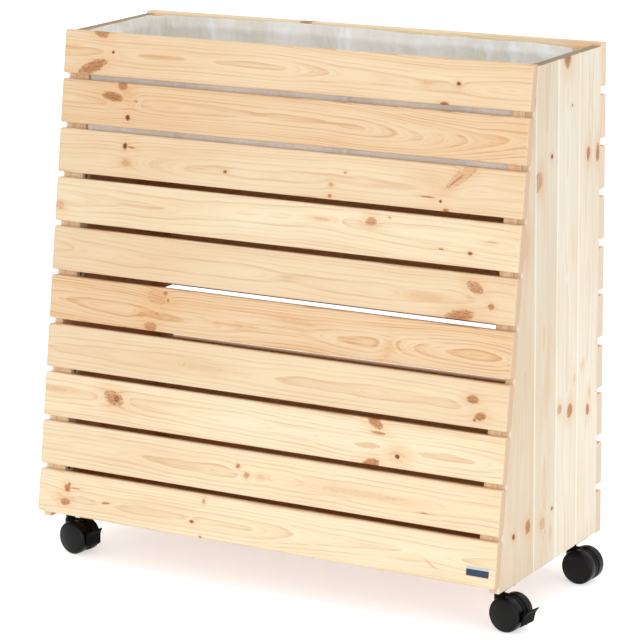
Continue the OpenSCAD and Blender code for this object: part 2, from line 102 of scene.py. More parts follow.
class Field:
    """A value that varies over a surface, written as an expression: each operator adds one Math node."""

    def __init__(self, finish, socket):
        self.finish = finish
        self.socket = socket

    def math(self, operation, *others):
        """Result of the operation on this value and the others."""
        return self.finish.node("ShaderNodeMath", {"operation": operation}, dict(enumerate((self, *others))))

    def __add__(self, other):
        return self.math("ADD", other)

    def __sub__(self, other):
        return self.math("SUBTRACT", other)

    def __rsub__(self, other):
        return self.finish.node("ShaderNodeMath", {"operation": "SUBTRACT"}, {0: other, 1: self})

    def __mul__(self, other):
        return self.math("MULTIPLY", other)

    def __pow__(self, other):
        return self.math("POWER", other)

    __radd__ = __add__
    __rmul__ = __mul__

    def step(self, low, high):
        """Smooth step: 0 below low, 1 above high, or the other way round where low is the larger."""
        return self.finish.node(
            "ShaderNodeMapRange", {"interpolation_type": "SMOOTHSTEP", "clamp": True},
            {"Value": self, "From Min": low, "From Max": high})


class Finish:
    """A material in the making, with its nodes and its shader."""

    def __init__(self, name, roughness=0.5, specular=0.5):
        self.material = bpy.data.materials.new(name)
        self.material.use_nodes = True
        self.tree = self.material.node_tree
        self.shader = self.tree.nodes["Principled BSDF"]
        self.shader.inputs["Roughness"].default_value = roughness
        self.shader.inputs["Specular IOR Level"].default_value = specular

    def node(self, kind, settings=None, inputs=None, output=0):
        """Adds a node: its settings first, then a value or a link for each named socket; gives one output."""
        made = self.tree.nodes.new(kind)
        for key, value in (settings or {}).items():
            setattr(made, key, value)
        for key, value in (inputs or {}).items():
            if isinstance(value, Field):
                self.tree.links.new(value.socket, made.inputs[key])
            else:
                made.inputs[key].default_value = value
        return Field(self, made.outputs[output])

    def attribute(self, name, output="Fac"):
        """Value, or with "Vector" the vector, that the mesh carries under the name."""
        return self.node("ShaderNodeAttribute", {"attribute_name": name}, None, output)

    def place(self):
        """Place in the frame, in metres."""
        return self.node("ShaderNodeTexCoord", None, None, "Object")

    def along(self, axis, vector):
        """One coordinate of a vector, by the axis's letter."""
        return self.node("ShaderNodeSeparateXYZ", None, {"Vector": vector}, axis)

    def noise(self, at, scale, stretch=(1, 1, 1), detail=2.0, roughness=0.5):
        """Noise from 0 to 1 about 0.5, of the given features per metre, drawn out by the stretch."""
        drawn = self.node("ShaderNodeVectorMath", {"operation": "DIVIDE"}, {0: at, 1: stretch})
        return self.node("ShaderNodeTexNoise", None,
                         {"Vector": drawn, "Scale": scale, "Detail": detail, "Roughness": roughness})

    def mix(self, share, a, b):
        """Colour a turning to colour b by the share."""
        return self.node("ShaderNodeMix", {"data_type": "RGBA"}, {0: share, 6: a, 7: b}, 2)

    def tinted(self, colour, by):
        """Colour multiplied by a value."""
        start = colour if isinstance(colour, Field) else colour[:3]
        return self.node("ShaderNodeVectorMath", {"operation": "SCALE"}, {0: start, "Scale": by})

    def drive(self, **sockets):
        """Feeds the shader's sockets, each named with _ for a space."""
        for name, value in sockets.items():
            self.tree.links.new(value.socket, self.shader.inputs[name.replace("_", " ")])

    def bump(self, height, strength, distance):
        """Raises the surface by the height times the distance, in metres."""
        self.drive(Normal=self.node("ShaderNodeBump", None,
                                    {"Strength": strength, "Distance": distance, "Height": height}))


SLAT_PALE = srgb(254, 237, 203)
SLAT_WARM = srgb(242, 208, 167)
SLAT_END = srgb(230, 198, 164)
LATE_WOOD = srgb(214, 158, 106)
BLADE_WOOD = srgb(236, 190, 138)
ORANGE_WOOD = srgb(236, 180, 122)
# Painted shade: the orange-brown that shade and warm bounce light give the wood inside the box.
SHADED_INNER_WOOD = srgb(238, 180, 116)
KNOT_TAN = srgb(208, 140, 90)
KNOT_BROWN = srgb(150, 92, 50)
KNOT_DARK = srgb(88, 60, 36)
LONG_KNOT = 8


def timber(name, cut, inside, pale=SLAT_PALE, warm=SLAT_WARM, end=SLAT_END, bevel=None):
    """Planed softwood. The mesh gives the ring number, the place in the board and how near a cut end is.

    A ring darkens slowly towards a thin late line and ends sharply; each ring has its own depth of colour, which
    gives pale and dark blades. Fine streaks run along the fibre. A knot is an ellipse (along, across, half length,
    half width, turn, depth of colour) in mm and degrees: soft at its edge, darker at its heart, with dark threads
    along a long one, a broken bark line, and a rusty halo. With a bevel colour, the outer few mm of its edges get a
    painted highlight. From the first depth to the second given by inside, the timber turns to a painted shade: the
    orange-brown that shade and warm bounce light give the edges and inner faces inside the box."""
    figure = cut.get("figure", 1.0)
    made = Finish(name, roughness=0.58, specular=0.35)
    place = made.attribute("place", "Vector")
    rings = made.attribute("rings")
    ends = made.attribute("ends")

    waver = made.noise(place, 60, (16, 1, 1), 3.0) - 0.5
    fine = made.noise(place, 420, (22, 1, 1), 2.0) - 0.5
    ring = rings + waver * 0.16 + fine * 0.06
    number = ring.math("FLOOR")
    part = ring - number
    own = made.node("ShaderNodeTexWhiteNoise", {"noise_dimensions": "1D"}, {"W": number})
    own_blade = made.node("ShaderNodeTexWhiteNoise", {"noise_dimensions": "1D"}, {"W": number + 0.37})
    late = part.step(0.35, 0.97) ** 1.7 * part.step(1.0, 0.97) * (own * 0.75 + 0.25)
    twin = ring * 3.0 + own * 2.0
    twin = twin - twin.math("FLOOR")
    thread = twin.step(0.55, 0.97) * twin.step(1.0, 0.96)

    fibre = made.noise(place, 1400, (60, 1, 1), 3.0, 0.6)
    streak = made.noise(place, 240, (44, 1, 1), 2.0)
    cloud = made.noise(place, 10, (3.2, 1, 1), 2.0)
    blush = made.noise(place, 17, (4.5, 1, 1), 2.0, 0.6)

    wood = made.mix(cloud.step(0.3, 0.7) * 0.34 + (cut["warmth"] - 0.17), pale, warm)
    wood = made.mix(own_blade.step(0.45, 0.95) * part.step(0.02, 0.20) * part.step(1.0, 0.96) * (0.28 * figure),
                    wood, BLADE_WOOD)
    wood = made.mix(blush.step(0.54, 0.78) * (0.34 * cut.get("blush", 1.0)), wood, ORANGE_WOOD)
    wood = made.mix(late * streak.step(0.20, 0.66) * (0.60 * figure), wood, LATE_WOOD)
    wood = made.mix(thread * streak.step(0.3, 0.7) * (0.26 * figure), wood, LATE_WOOD)
    dashes = made.noise(place, 900, (26, 1, 1), 1.0).step(0.70, 0.82)
    wood = made.mix(dashes * 0.16, wood, KNOT_BROWN)

    height = fibre * 0.25 + late * 0.35
    if len(cut["knots"]):
        ragged = (made.noise(place, 130, (2.2, 1, 1), 3.0, 0.6) - 0.5) * 0.7
        mottle = made.noise(place, 300, (2.4, 1, 1), 3.0, 0.7)
        nearest = deepest = threads = None
        for along, across, half_along, half_across, turn, depth in cut["knots"]:
            own_place = made.node(
                "ShaderNodeMapping", {"vector_type": "TEXTURE"},
                {"Vector": place, "Location": (along * MM, across * MM, 0),
                 "Rotation": (0, 0, math.radians(turn)), "Scale": (half_along * MM, half_across * MM, 1)})
            away = made.node("ShaderNodeVectorMath", {"operation": "LENGTH"}, {0: own_place}, "Value") + ragged
            body = away.step(1.22, 0.50) * depth
            nearest = away if nearest is None else nearest.math("MINIMUM", away)
            deepest = body if deepest is None else deepest.math("MAXIMUM", body)
            if half_along >= LONG_KNOT and depth >= 0.5:
                vein = made.noise(own_place, 2.6, (3.0, 0.8, 1), 2.0, 0.6)
                line = (vein - 0.5).math("ABSOLUTE").step(0.045, 0.0) * away.step(1.1, 0.8) * depth
                threads = line if threads is None else threads.math("MAXIMUM", line)
        wood = made.mix(nearest.step(3.0, 0.9) * 0.30, wood, ORANGE_WOOD)
        wood = made.mix((deepest * (mottle * 1.0 + 0.60)).step(0.02, 0.95) * 0.9, wood, KNOT_TAN)
        wood = made.mix((deepest * (mottle * 1.7 - 0.05)).step(0.42, 1.05) * 0.7, wood, KNOT_BROWN)
        wood = made.mix((deepest * (mottle * 0.5 + 0.75)).step(0.86, 1.10) * 0.85, wood, KNOT_DARK)
        bark = nearest.step(0.66, 0.90) * nearest.step(1.12, 0.96) * mottle.step(0.40, 0.60)
        wood = made.mix(bark * deepest.step(0.0, 0.30) * 0.62, wood, KNOT_BROWN)
        if threads is not None:
            wood = made.mix(threads * 0.7, wood, KNOT_DARK)
        height = height - deepest * 0.4
    depth_in = made.along("Z", place)
    # Painted highlight: a near-white band on the outer few mm of the edges, where the lit bevels of the V joints
    # show.
    if bevel is not None:
        wood = made.mix(depth_in.step(0.0003, 0.0010) * depth_in.step(0.0044, 0.0038) * 0.85, wood, bevel)
    pores = made.noise(place, 1500, (1, 1, 1), 2.0)
    # Painted shade: past the first depth, the top and bottom edges and the inner face turn to the orange-brown of the
    # shade inside the box.
    wood = made.mix(depth_in.step(*inside) * 0.8, wood, SHADED_INNER_WOOD)
    wood = made.mix(ends, wood, made.tinted(end, pores * 0.16 + 0.90 - late * 0.12))
    # A cut's light scales the board's brightness; its rise towards the lower front slats is partly painted light and
    # partly the boards' own tone. A fade darkens a board towards its top end by up to that share.
    light = (fibre - 0.5) * 0.11 + cut.get("light", 1.0)
    if "fade" in cut:
        light = light * (1.0 - made.along("X", place).step(0.15, 0.90) * cut["fade"])
    wood = made.tinted(wood, light)
    made.drive(Base_Color=wood, Roughness=fibre * 0.16 + late * 0.08 + 0.46)
    made.bump(height, 0.35, 0.0004)
    return made.material


def eased_curve(points, at):
    """Curve through (place, value) points in mm, its corners smoothed over about 40 mm by a running mean.

    Its range takes in the slats' places along X and the end boards' heights."""
    points = np.array(points, float)
    fine = np.arange(-520.0, 1020.0, 4.0)
    value = np.interp(fine, points[:, 0], points[:, 1])
    window = np.hanning(13)
    padded = np.pad(value, 6, mode="edge")
    return np.interp(at, fine, np.convolve(padded, window / window.sum(), mode="valid"))


def growth_rings(along, across, into, cut, seed):
    """Ring number in a board: distance from the log's heart, in ring widths, all lengths in mm.

    The heart runs behind the face, at the depth in rings and the place across that cut gives along the board.
    Long waves shift it a little, and the rings bulge around each knot as a Gaussian of the place."""
    heart = eased_curve(cut["crest"], along)
    deep = eased_curve(cut["depth"], along) * cut["pitch"] - into
    rings = np.hypot(deep, across - heart) / cut["pitch"]
    waves = np.random.default_rng(seed)
    for wave in (420.0, 230.0, 130.0, 70.0):
        phase, tilt = waves.uniform(0, 2 * math.pi), waves.uniform(-0.012, 0.012)
        rings = rings + wave * 0.0004 * np.sin(2 * math.pi * along / wave + tilt * across * 6 + phase)
    for x, y, half_x, half_y, turn, depth in cut["knots"]:
        c, s = math.cos(math.radians(turn)), math.sin(math.radians(turn))
        u = ((along - x) * c + (across - y) * s) / (half_x * 1.7 + 8)
        v = ((across - y) * c - (along - x) * s) / (half_y * 1.35 + 4)
        rings = rings + 0.22 * (half_y + 2) / cut["pitch"] * np.exp(-u * u - v * v)
    return rings


def rounded_section(face_points, edge_points, thickness, radii, bend=4):
    """Loop around a board's section, as (share across, offset across, depth, normal across, normal in).

    It runs over the outer face, round the edge, back over the inner face and round the other edge. Each corner
    is an arc of its own radius, its centre plus radius times (cosine, sine) of the angle, or with one bend a
    plain bevel."""
    support = 0.012
    share = np.concatenate([[0], np.linspace(support, 1 - support, face_points - 2), [1]])
    inner_share = np.linspace(1, 0, max(4, face_points // 3))
    angles = np.linspace(0, math.pi / 2, bend + 1)[1:-1]
    rows = []

    def face(shares, start, end, depth, facing):
        offset = start + (end - start) * shares if facing < 0 else end + (start - end) * (1 - shares)
        rows.extend(zip(shares, offset, np.full(len(shares), depth), np.zeros(len(shares)),
                        np.full(len(shares), float(facing))))

    def corner(at, centre_offset, centre_depth, radius, first):
        for angle in angles:
            n = (math.cos(first + angle), math.sin(first + angle))
            rows.append((at, centre_offset + radius * n[0], centre_depth + radius * n[1], *n))

    def edge(at, start, end, facing):
        for depth in np.linspace(start, end, edge_points):
            rows.append((at, 0.0, depth, facing, 0.0))

    r0, r1, r2, r3 = radii
    face(share, r0, -r1, 0.0, -1)
    corner(1, -r1, r1, r1, -math.pi / 2)
    edge(1, r1, thickness - r2, 1.0)
    corner(1, -r2, thickness - r2, r2, 0.0)
    face(inner_share, r3, -r2, thickness, 1)
    corner(0, r3, thickness - r3, r3, math.pi / 2)
    edge(0, thickness - r3, r0, -1.0)
    corner(0, r0, r0, r0, math.pi)
    return np.array(rows).T


SHARP_FROM = math.radians(32)


def closed_mesh(name, grid, first_pole, last_pole):
    """Mesh of a closed loop carried along a grid of stations, each end drawn together into a pole.

    Its faces are turned outwards by the sign of the volume that they enclose."""
    stations, around = grid.shape[:2]
    points = np.concatenate([grid.reshape(-1, 3), [first_pole, last_pole]])
    row, column = np.meshgrid(np.arange(stations - 1), np.arange(around), indexing="ij")
    after = (column + 1) % around
    quads = np.stack([row * around + column, row * around + after, (row + 1) * around + after,
                      (row + 1) * around + column], -1).reshape(-1, 4)
    turn = np.arange(around)
    base = (stations - 1) * around
    fans = np.concatenate([
        np.stack([np.roll(turn, -1), turn, np.full(around, stations * around)], -1),
        np.stack([base + turn, base + np.roll(turn, -1), np.full(around, stations * around + 1)], -1)])
    a, b, c, d = (points[quads[:, i]] for i in range(4))
    volume = np.einsum("ij,ij->", a, np.cross(b, c)) + np.einsum("ij,ij->", a, np.cross(c, d))
    if volume < 0:
        quads, fans = quads[:, ::-1], fans[:, ::-1]
    mesh = bpy.data.meshes.new(name)
    mesh.from_pydata(points.tolist(), [], quads.tolist() + fans.tolist())
    mesh.shade_smooth()
    mesh.set_sharp_from_angle(angle=SHARP_FROM)
    return mesh


def carry(mesh, name, values):
    """Stores one number or one vector for each point of the mesh, for its material to read."""
    vector = values.ndim > 1
    attribute = mesh.attributes.new(name, "FLOAT_VECTOR" if vector else "FLOAT", "POINT")
    attribute.data.foreach_set("vector" if vector else "value",
                               np.ascontiguousarray(values, np.float32).ravel())


def add_piece(name, mesh, material, body, nodes):
    """Makes a piece of a mesh: it rides on the body and stands for the nodes, if there are any."""
    piece = bpy.data.objects.new(name, mesh)
    bpy.context.scene.collection.objects.link(piece)
    mesh.materials.append(material)
    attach(piece, body)
    if nodes:
        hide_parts(*nodes)


CAP_STEPS = 5


def board(name, node, section, along, low, high, thickness, to_frame, cut, seed, material, ease):
    """Solid board of the box: the section is carried along, between the low and high edges, and its ends are
    rounded.

    Near an end the section draws in by r - r sin(angle) while it advances r cos(angle), and a flat cap closes
    it. to_frame turns (along, across, into) in metres into the frame."""
    share, offset, depth, across_n, in_n = section
    angles = np.linspace(0, math.pi / 2, CAP_STEPS)
    start, end = along[0], along[-1]
    lead = start + ease * (1 - np.cos(angles))
    tail = end - ease * (1 - np.cos(angles[::-1]))
    draw = ease * (1 - np.sin(angles))
    inside = along[(along > lead[-1] + 1e-4) & (along < tail[0] - 1e-4)]
    stations = np.concatenate([lead, inside, tail])
    drawn = np.concatenate([draw, np.zeros(len(inside)), draw[::-1]])
    lo, hi = low(stations)[:, None], high(stations)[:, None]
    a = np.broadcast_to(stations[:, None], (len(stations), len(share))).copy()
    b = lo + share * (hi - lo) + offset - drawn[:, None] * across_n
    c = depth - drawn[:, None] * in_n
    fade = np.linspace(1, 0, CAP_STEPS)
    ends = np.concatenate([fade, np.zeros(len(inside)), fade[::-1]])[:, None] + 0 * a
    caps = []
    for index in (0, -1):
        middle_b, middle_c = b[index].mean(), thickness / 2
        ring_b = middle_b + (b[index] - middle_b) * 0.5
        ring_c = middle_c + (c[index] - middle_c) * 0.5
        caps.append((a[index], ring_b, ring_c, a[index][0], middle_b, middle_c))
    a = np.concatenate([[caps[0][0]], a, [caps[1][0]]])
    b = np.concatenate([[caps[0][1]], b, [caps[1][1]]])
    c = np.concatenate([[caps[0][2]], c, [caps[1][2]]])
    ends = np.concatenate([[np.ones(len(share))], ends, [np.ones(len(share))]])
    poles = np.array([caps[0][3:], caps[1][3:]])
    place = np.concatenate([np.stack([a, b, c], -1).reshape(-1, 3), poles])
    grid = np.stack(to_frame(a, b, c), -1)
    pole_points = np.stack(to_frame(*poles.T), -1)
    mesh = closed_mesh(name, grid, pole_points[0], pole_points[1])
    carry(mesh, "place", place)
    carry(mesh, "rings", growth_rings(*(place / MM).T, cut, seed))
    carry(mesh, "ends", np.concatenate([ends.ravel(), [1, 1]]))
    add_piece(name, mesh, material, "planter_box", [node])


def up_the_front(n):
    """Frame place on front slat n: depth is measured in from its outer face, across is down the slope."""
    def to_frame(a, b, c):
        down = (n - 1) * FRONT_PITCH + b
        y = c - SLAT_T
        return (a, FRONT_INNER_Y + y * math.cos(LEAN) - down * math.sin(LEAN),
                RIM - y * math.sin(LEAN) - down * math.cos(LEAN))
    return to_frame


# Each slat as sawn: its warmth, the ring width, the crest line across and the heart's depth in rings along it
# (a tip of an arch stands where the depth passes a whole number), and its knots.
FRONT_CUTS = [
    dict(warmth=0.62, light=0.935, figure=1.20, pitch=3.4,
         crest=[(-455, 34), (-60, 35), (120, 38), (300, 46), (455, 42)],
         depth=[(-455, 8.5), (-330, 8.75), (-41, 9.0), (103, 10.0), (200, 10.4), (300, 10.5), (455, 10.2)],
         knots=[(-393, 60, 33, 10, -21, 0.80), (-379, -1, 16, 9, 20, 0.70), (-352, 32, 3.4, 3, 0, 1.1),
                (323, 38, 5, 4, 20, 1.0), (299, 73, 8, 4.5, 0, 0.95), (266, 40, 8, 3, 0, 0.25),
                (-438, 28, 14, 4, 0, 0.22)]),
    dict(warmth=0.90, light=0.940, figure=1.55, pitch=2.9,
         crest=[(-455, 30), (60, 32), (160, 38), (260, 44), (360, 42), (455, 33)],
         depth=[(-455, 9.3), (-300, 9.5), (100, 9.8), (160, 10), (211, 11), (252, 12), (306, 13), (360, 14),
                (433, 15), (455, 15.2)],
         knots=[(-348, 22, 23, 8, 8, 0.88), (-328, 1, 11, 9, 35, 0.75), (-314, 56, 5, 5.5, -50, 1.15),
                (-299, 27, 3, 2, 0, 0.8), (-318, 12, 14, 8, 50, 0.25)]),
    dict(warmth=0.52, light=0.925, figure=0.95, pitch=3.4,
         crest=[(-455, 50), (-290, 46), (-175, 47), (100, 40), (455, 36)],
         depth=[(-455, 12.7), (-290, 12), (-175, 11), (-60, 10.6), (120, 10.5), (300, 11), (455, 11.5)],
         knots=[(-316, 19, 5, 6.5, 0, 1.15), (-304, 20, 9, 2.0, 5, 0.8), (-312, 48, 10, 6, 0, 0.42),
                (-110, 46, 3.8, 3, 0, 0.95), (124, 27, 2.6, 2, 0, 0.7), (98, 49, 4.5, 3.6, 0, 0.6),
                (97, 68, 4, 3, 0, 0.9), (341, 14, 37, 10, 141, 0.40), (331, 22, 22, 2.0, 139, 0.75),
                (281, 53, 16, 1.6, 0, 0.7), (305, 58, 3, 2.6, 0, 1.0), (316, 72, 6, 3.6, 0, 0.9),
                (290, 28, 30, 8, 0, 0.16)]),
    dict(warmth=0.24, light=0.930, figure=0.95, pitch=4.2,
         crest=[(-455, 34), (-221, 31), (66, 21), (180, 22), (455, 34)],
         depth=[(-455, 9.2), (-221, 10), (-90, 10.5), (66, 10), (178, 9.5), (455, 9.3)],
         knots=[(-446, 47, 11, 7, 10, 0.42), (179, 16, 11, 7.5, 0, 0.62), (213, 7, 3, 1.6, 0, 0.7),
                (312, 49, 5, 1.6, 0, 0.8), (366, 51, 4.6, 3.2, 0, 1.05), (403, 29, 10, 1.2, 0, 0.5),
                (85, 21, 17, 3, 0, 0.36)]),
    dict(warmth=0.56, light=0.922, figure=1.00, pitch=3.7,
         crest=[(-455, 33), (-300, 38), (100, 42), (300, 42), (455, 39)],
         depth=[(-455, 9.5), (-381, 10), (-200, 10.4), (100, 10.5), (300, 10.4), (400, 10.7), (450, 11.0)],
         knots=[(380, 19, 16, 9, 25, 0.66), (411, 47, 6, 5.5, 0, 0.85), (355, 68, 27, 11, -12, 0.74),
                (292, 42, 32, 4, 0, 0.20)]),
    dict(warmth=0.88, light=0.955, figure=2.00, pitch=3.2,
         crest=[(-455, 38), (-228, 44), (-121, 47), (60, 42), (157, 43), (265, 42),
                (455, 43)],
         depth=[(-455, 11.2), (-438, 11), (-300, 10.4), (-228, 10.3), (-121, 11), (-40, 11.5), (70, 11.7),
                (157, 11), (220, 10.4), (265, 10), (308, 9.0), (380, 8.5), (442, 9.0), (455, 9.6)],
         knots=[(-230, 14, 22, 13, 10, 0.34), (-214, 6, 4.6, 4, 0, 0.95), (-208, 17.5, 3, 3, 0, 0.9),
                (-229, 43, 4, 3, 0, 0.6), (-241, 66, 14, 8, 0, 0.62), (-259, 48, 9, 4.5, 0, 0.42),
                (-86, 45, 30, 2.4, 0, 0.34), (50, 26, 36, 4, 3, 0.26), (228, 52, 7, 14, 25, 0.2)]),
    dict(warmth=0.46, light=0.940, figure=0.90, pitch=4.0,
         crest=[(-455, 38), (-133, 38), (38, 40), (220, 38), (455, 42)],
         depth=[(-455, 10.2), (-431, 10), (-300, 9.5), (-180, 9.0), (-133, 8.8), (-81, 9.0), (-20, 9.3), (38, 9.0),
                (200, 8.4), (350, 8.6), (455, 9.3)],
         knots=[(390, 28, 12, 7.5, 0, 0.78), (406, 54, 11, 7, -8, 0.80), (396, 61, 3, 3, 0, 1.0),
                (-133, 38, 48, 5, 0, 0.20)]),
    dict(warmth=0.12, light=0.975, figure=1.15, pitch=3.6,
         crest=[(-455, 30), (-308, 28), (0, 36), (145, 42), (367, 44), (455, 44)],
         depth=[(-455, 9.4), (-250, 9.4), (0, 9.3), (145, 9.0), (250, 8.7), (367, 9.0), (455, 9.4)],
         knots=[(-308, 27, 21, 12, 12, 0.66), (-302, 28, 7, 8, 0, 0.98), (213, 2, 17, 9, 30, 0.74),
                (221, 19, 14, 3, 4, 0.70), (259, 54, 5.5, 4.5, 0, 1.05), (259, 53, 15, 11, 0, 0.20),
                (210, 72, 17, 9, -12, 0.80), (-430, 26, 26, 4, 0, 0.28)]),
    dict(warmth=0.24, light=0.975, figure=1.10, pitch=4.0,
         crest=[(-455, 34), (-305, 35), (0, 38), (196, 38), (455, 38)],
         depth=[(-455, 9.6), (-305, 9.0), (-90, 8.6), (20, 9.2), (118, 9.0), (196, 8.8), (275, 9.0), (455, 9.5)],
         knots=[(-46, 25, 4, 4.4, 0, 0.85), (-28, 38, 6, 5, 0, 0.62), (0, 37, 9, 4, 0, 0.30),
                (196, 38, 78, 5, 0, 0.24), (316, 54, 8, 1.2, 0, 0.6)]),
    dict(warmth=0.10, light=0.990, figure=0.90, pitch=3.8,
         crest=[(-455, 44), (-23, 43), (97, 39), (250, 34), (411, 33), (455, 33)],
         depth=[(-455, 7.4), (-23, 8), (97, 9), (250, 10), (330, 10.35), (411, 10), (455, 9.7)],
         knots=[(-394, 26, 7, 7.5, 0, 0.90), (-390, 18, 3.4, 3.4, 0, 0.95), (-378, 24, 11, 1.6, 0, 0.6),
                (-397, 50, 11, 6.5, 0, 0.72), (-311, 41, 9, 2, -5, 0.8), (-132, 47, 5, 3, 0, 1.0),
                (-110, 8, 3, 5, 0, 0.6), (-113, 72, 3, 2.6, 0, 0.95), (335, 50, 12, 1.4, 30, 0.35)]),
]

FACE_POINTS = 23
EDGE_POINTS = 4
SLAT_STATIONS = 183
slat_section = rounded_section(FACE_POINTS, EDGE_POINTS, SLAT_T, [TOP_EDGE, SLAT_EASE, SLAT_EASE, SLAT_EASE])
slat_stations = np.linspace(-HALF, HALF, SLAT_STATIONS)
# From 9 mm behind the face, the slats' edges and inner faces take the painted shade of the box's inside.
for n, cut in enumerate(FRONT_CUTS, 1):
    rise = RIM_RISE if n == 1 else TOP_RISE
    board(f"front_slat_face_{n}", f"front_slat_{n}", slat_section, slat_stations,
          lambda a: np.full_like(a, -rise), lambda a: np.full_like(a, SLAT_H), SLAT_T, up_the_front(n), cut,
          100 + n, timber(f"front_slat_timber_{n}", cut, (0.009, 0.0172)), SLAT_EASE)

# ---------------------------------------------------------------------------------------------------------------
# Back slats. Ten more boards of the same kind, a little thicker and with sharper edges, screwed to battens in two
# panels, of six and of four. Each sits off the even spacing by its own small shift, from the top one down.
BACK_SLAT_T = 0.020
BACK_EASE = 0.0012
BACK_END = srgb(238, 217, 194)
BACK_RISE = 0.0045
BACK_DROP = 0.002
UPPER_SLATS = 6
BACK_SPLIT = 0.0145
BACK_SHIFT_MM = (0, -0.8, -1.3, -1.3, -2.8, 0.8, -0.7, 1.8, 0.8, 0)
BACK_GAP = (RIM - WALL_FOOT + BACK_RISE + BACK_DROP - SLAT_COUNT * SLAT_H - BACK_SPLIT) / (SLAT_COUNT - 2)
BACK_PITCH = SLAT_H + BACK_GAP


def chance_cut(seed, length, width):
    """A board as sawn at random: arches from a slow drift of the heart's depth, and a few knots in mm."""
    draw = np.random.default_rng(seed)
    places = np.linspace(0, length, 6)
    depth = np.cumsum(draw.uniform(-0.9, 0.9, 6)) + draw.uniform(9, 12)
    crest = np.clip(draw.uniform(0.25, 0.75) * width + np.cumsum(draw.uniform(-5, 5, 6)), 5, width - 5)
    knots = []
    for _ in range(draw.integers(2, 5)):
        size = draw.uniform(2.5, 11)
        knots.append((draw.uniform(0.04, 0.96) * length, draw.uniform(0.05, 0.95) * width,
                      size * draw.uniform(1.0, 1.9), size, draw.uniform(-25, 25),
                      draw.uniform(0.9, 1.1) if size < 5 else draw.uniform(0.55, 0.85)))
    return dict(warmth=draw.uniform(0.1, 0.8), pitch=draw.uniform(3.0, 4.2), knots=knots,
                crest=list(zip(places, crest)), depth=list(zip(places, depth)))


def moved_cut(cut, along, across):
    """The same cut with its places moved along and across."""
    return dict(cut, crest=[(x + along, y + across) for x, y in cut["crest"]],
                depth=[(x + along, d) for x, d in cut["depth"]],
                knots=[(x + along, y + across, *rest) for x, y, *rest in cut["knots"]])


def up_the_back(n):
    """Frame place on back slat n: depth is measured in from its outer face, across is down from its top."""
    foot = (WALL_FOOT - BACK_DROP + (SLAT_COUNT - n) * BACK_PITCH if n > UPPER_SLATS
            else RIM + BACK_RISE - SLAT_H - (n - 1) * BACK_PITCH) + BACK_SHIFT_MM[n - 1] * MM

    def to_frame(a, b, c):
        return (a, BACK_OUTER_Y - c, foot + SLAT_H - b)
    return to_frame


# The top one's inner face shows over the rim, pale and with a knot at its upper edge. The others' edges and inner
# faces, from 2 mm behind the outer face, take the painted shade of the box's inside.
TOP_KNOT = (-118, -1, 13, 8, 10, 0.8)
NEVER_BROWN = (1.0, 2.0)
back_section = rounded_section(FACE_POINTS, EDGE_POINTS, BACK_SLAT_T, [BACK_EASE] * 4)
for n in range(1, SLAT_COUNT + 1):
    cut = moved_cut(chance_cut(300 + n, LENGTH / MM, SLAT_H / MM), -HALF / MM, 0)
    if n == 1:
        cut["knots"].append(TOP_KNOT)
    board(f"back_slat_face_{n}", f"back_slat_{n}", back_section, slat_stations,
          lambda a: np.zeros_like(a), lambda a: np.full_like(a, SLAT_H), BACK_SLAT_T, up_the_back(n), cut, 400 + n,
          timber(f"back_slat_timber_{n}", cut, NEVER_BROWN if n == 1 else (0.002, 0.012), end=BACK_END),
          BACK_EASE)

# ---------------------------------------------------------------------------------------------------------------
# End walls. Four upright tongue-and-groove boards each, bevelled where they meet so that a V shows, the front
# one tapered to the lean. Their cut upper ends show as a strip of end grain at the rim.
END_T = 0.018
VEE = 0.0035
BOARD_COUNT = 4
BACK_INNER_Y = BACK_OUTER_Y - BACK_SLAT_T
TIP_DROP = 0.0395
TIP_W = 0.0015
END_EASE = 0.0008
JOINT_ROOM = 0.00005
WALL_FACE_POINTS = 25
WALL_EDGE_POINTS = 3
WALL_STATIONS = 172
BOARD_W = (BACK_INNER_Y - FRONT_INNER_Y + TIP_DROP * math.tan(LEAN)) / (BOARD_COUNT - 1)
board_rears = [BACK_INNER_Y - n * BOARD_W for n in range(BOARD_COUNT)]


def lean_line(z):
    """Y of the slats' inner face at height z."""
    return FRONT_INNER_Y - (RIM - z) * math.tan(LEAN)


def wall_board(side, n, cut, seed, material):
    """Board n of an end wall, counted from the back; along is the height and across is Y.

    Its front edge is the line of the next joint, or the leaning line where that lies further back. The foremost
    board has the leaning line alone, and ends below the rim in a narrow tip."""
    foremost = n == BOARD_COUNT
    rear = board_rears[n - 1]
    joint = -math.inf if foremost else board_rears[n]
    top = RIM - TIP_DROP - TIP_W / math.tan(LEAN) if foremost else RIM
    radii = [END_EASE if foremost else VEE, END_EASE if n == 1 else VEE, END_EASE, END_EASE]
    section = rounded_section(WALL_FACE_POINTS, WALL_EDGE_POINTS, END_T, radii, bend=1)
    name = "right" if side > 0 else "left"
    board(f"{name}_wall_face_{n}", f"{name}_end_board_{n}", section,
          np.linspace(WALL_FOOT, top, WALL_STATIONS), lambda z: np.maximum(joint, lean_line(z)) + JOINT_ROOM,
          lambda z: np.full_like(z, rear - JOINT_ROOM), END_T, lambda a, b, c: (side * (HALF - c), b, a),
          cut, seed, material, END_EASE)


def wall_timber(name, cut):
    """The end walls' paler timber, grey-brown on the cut ends, with a near-white painted highlight on the outer few
    mm of the edges, where the V joints' bevels are.
    """
    return timber(name, dict(cut, figure=0.55, blush=0.9, fade=0.09), (0.0158, 0.0174), srgb(250, 241, 222),
                  srgb(232, 208, 174), srgb(166, 142, 110), srgb(255, 251, 236))


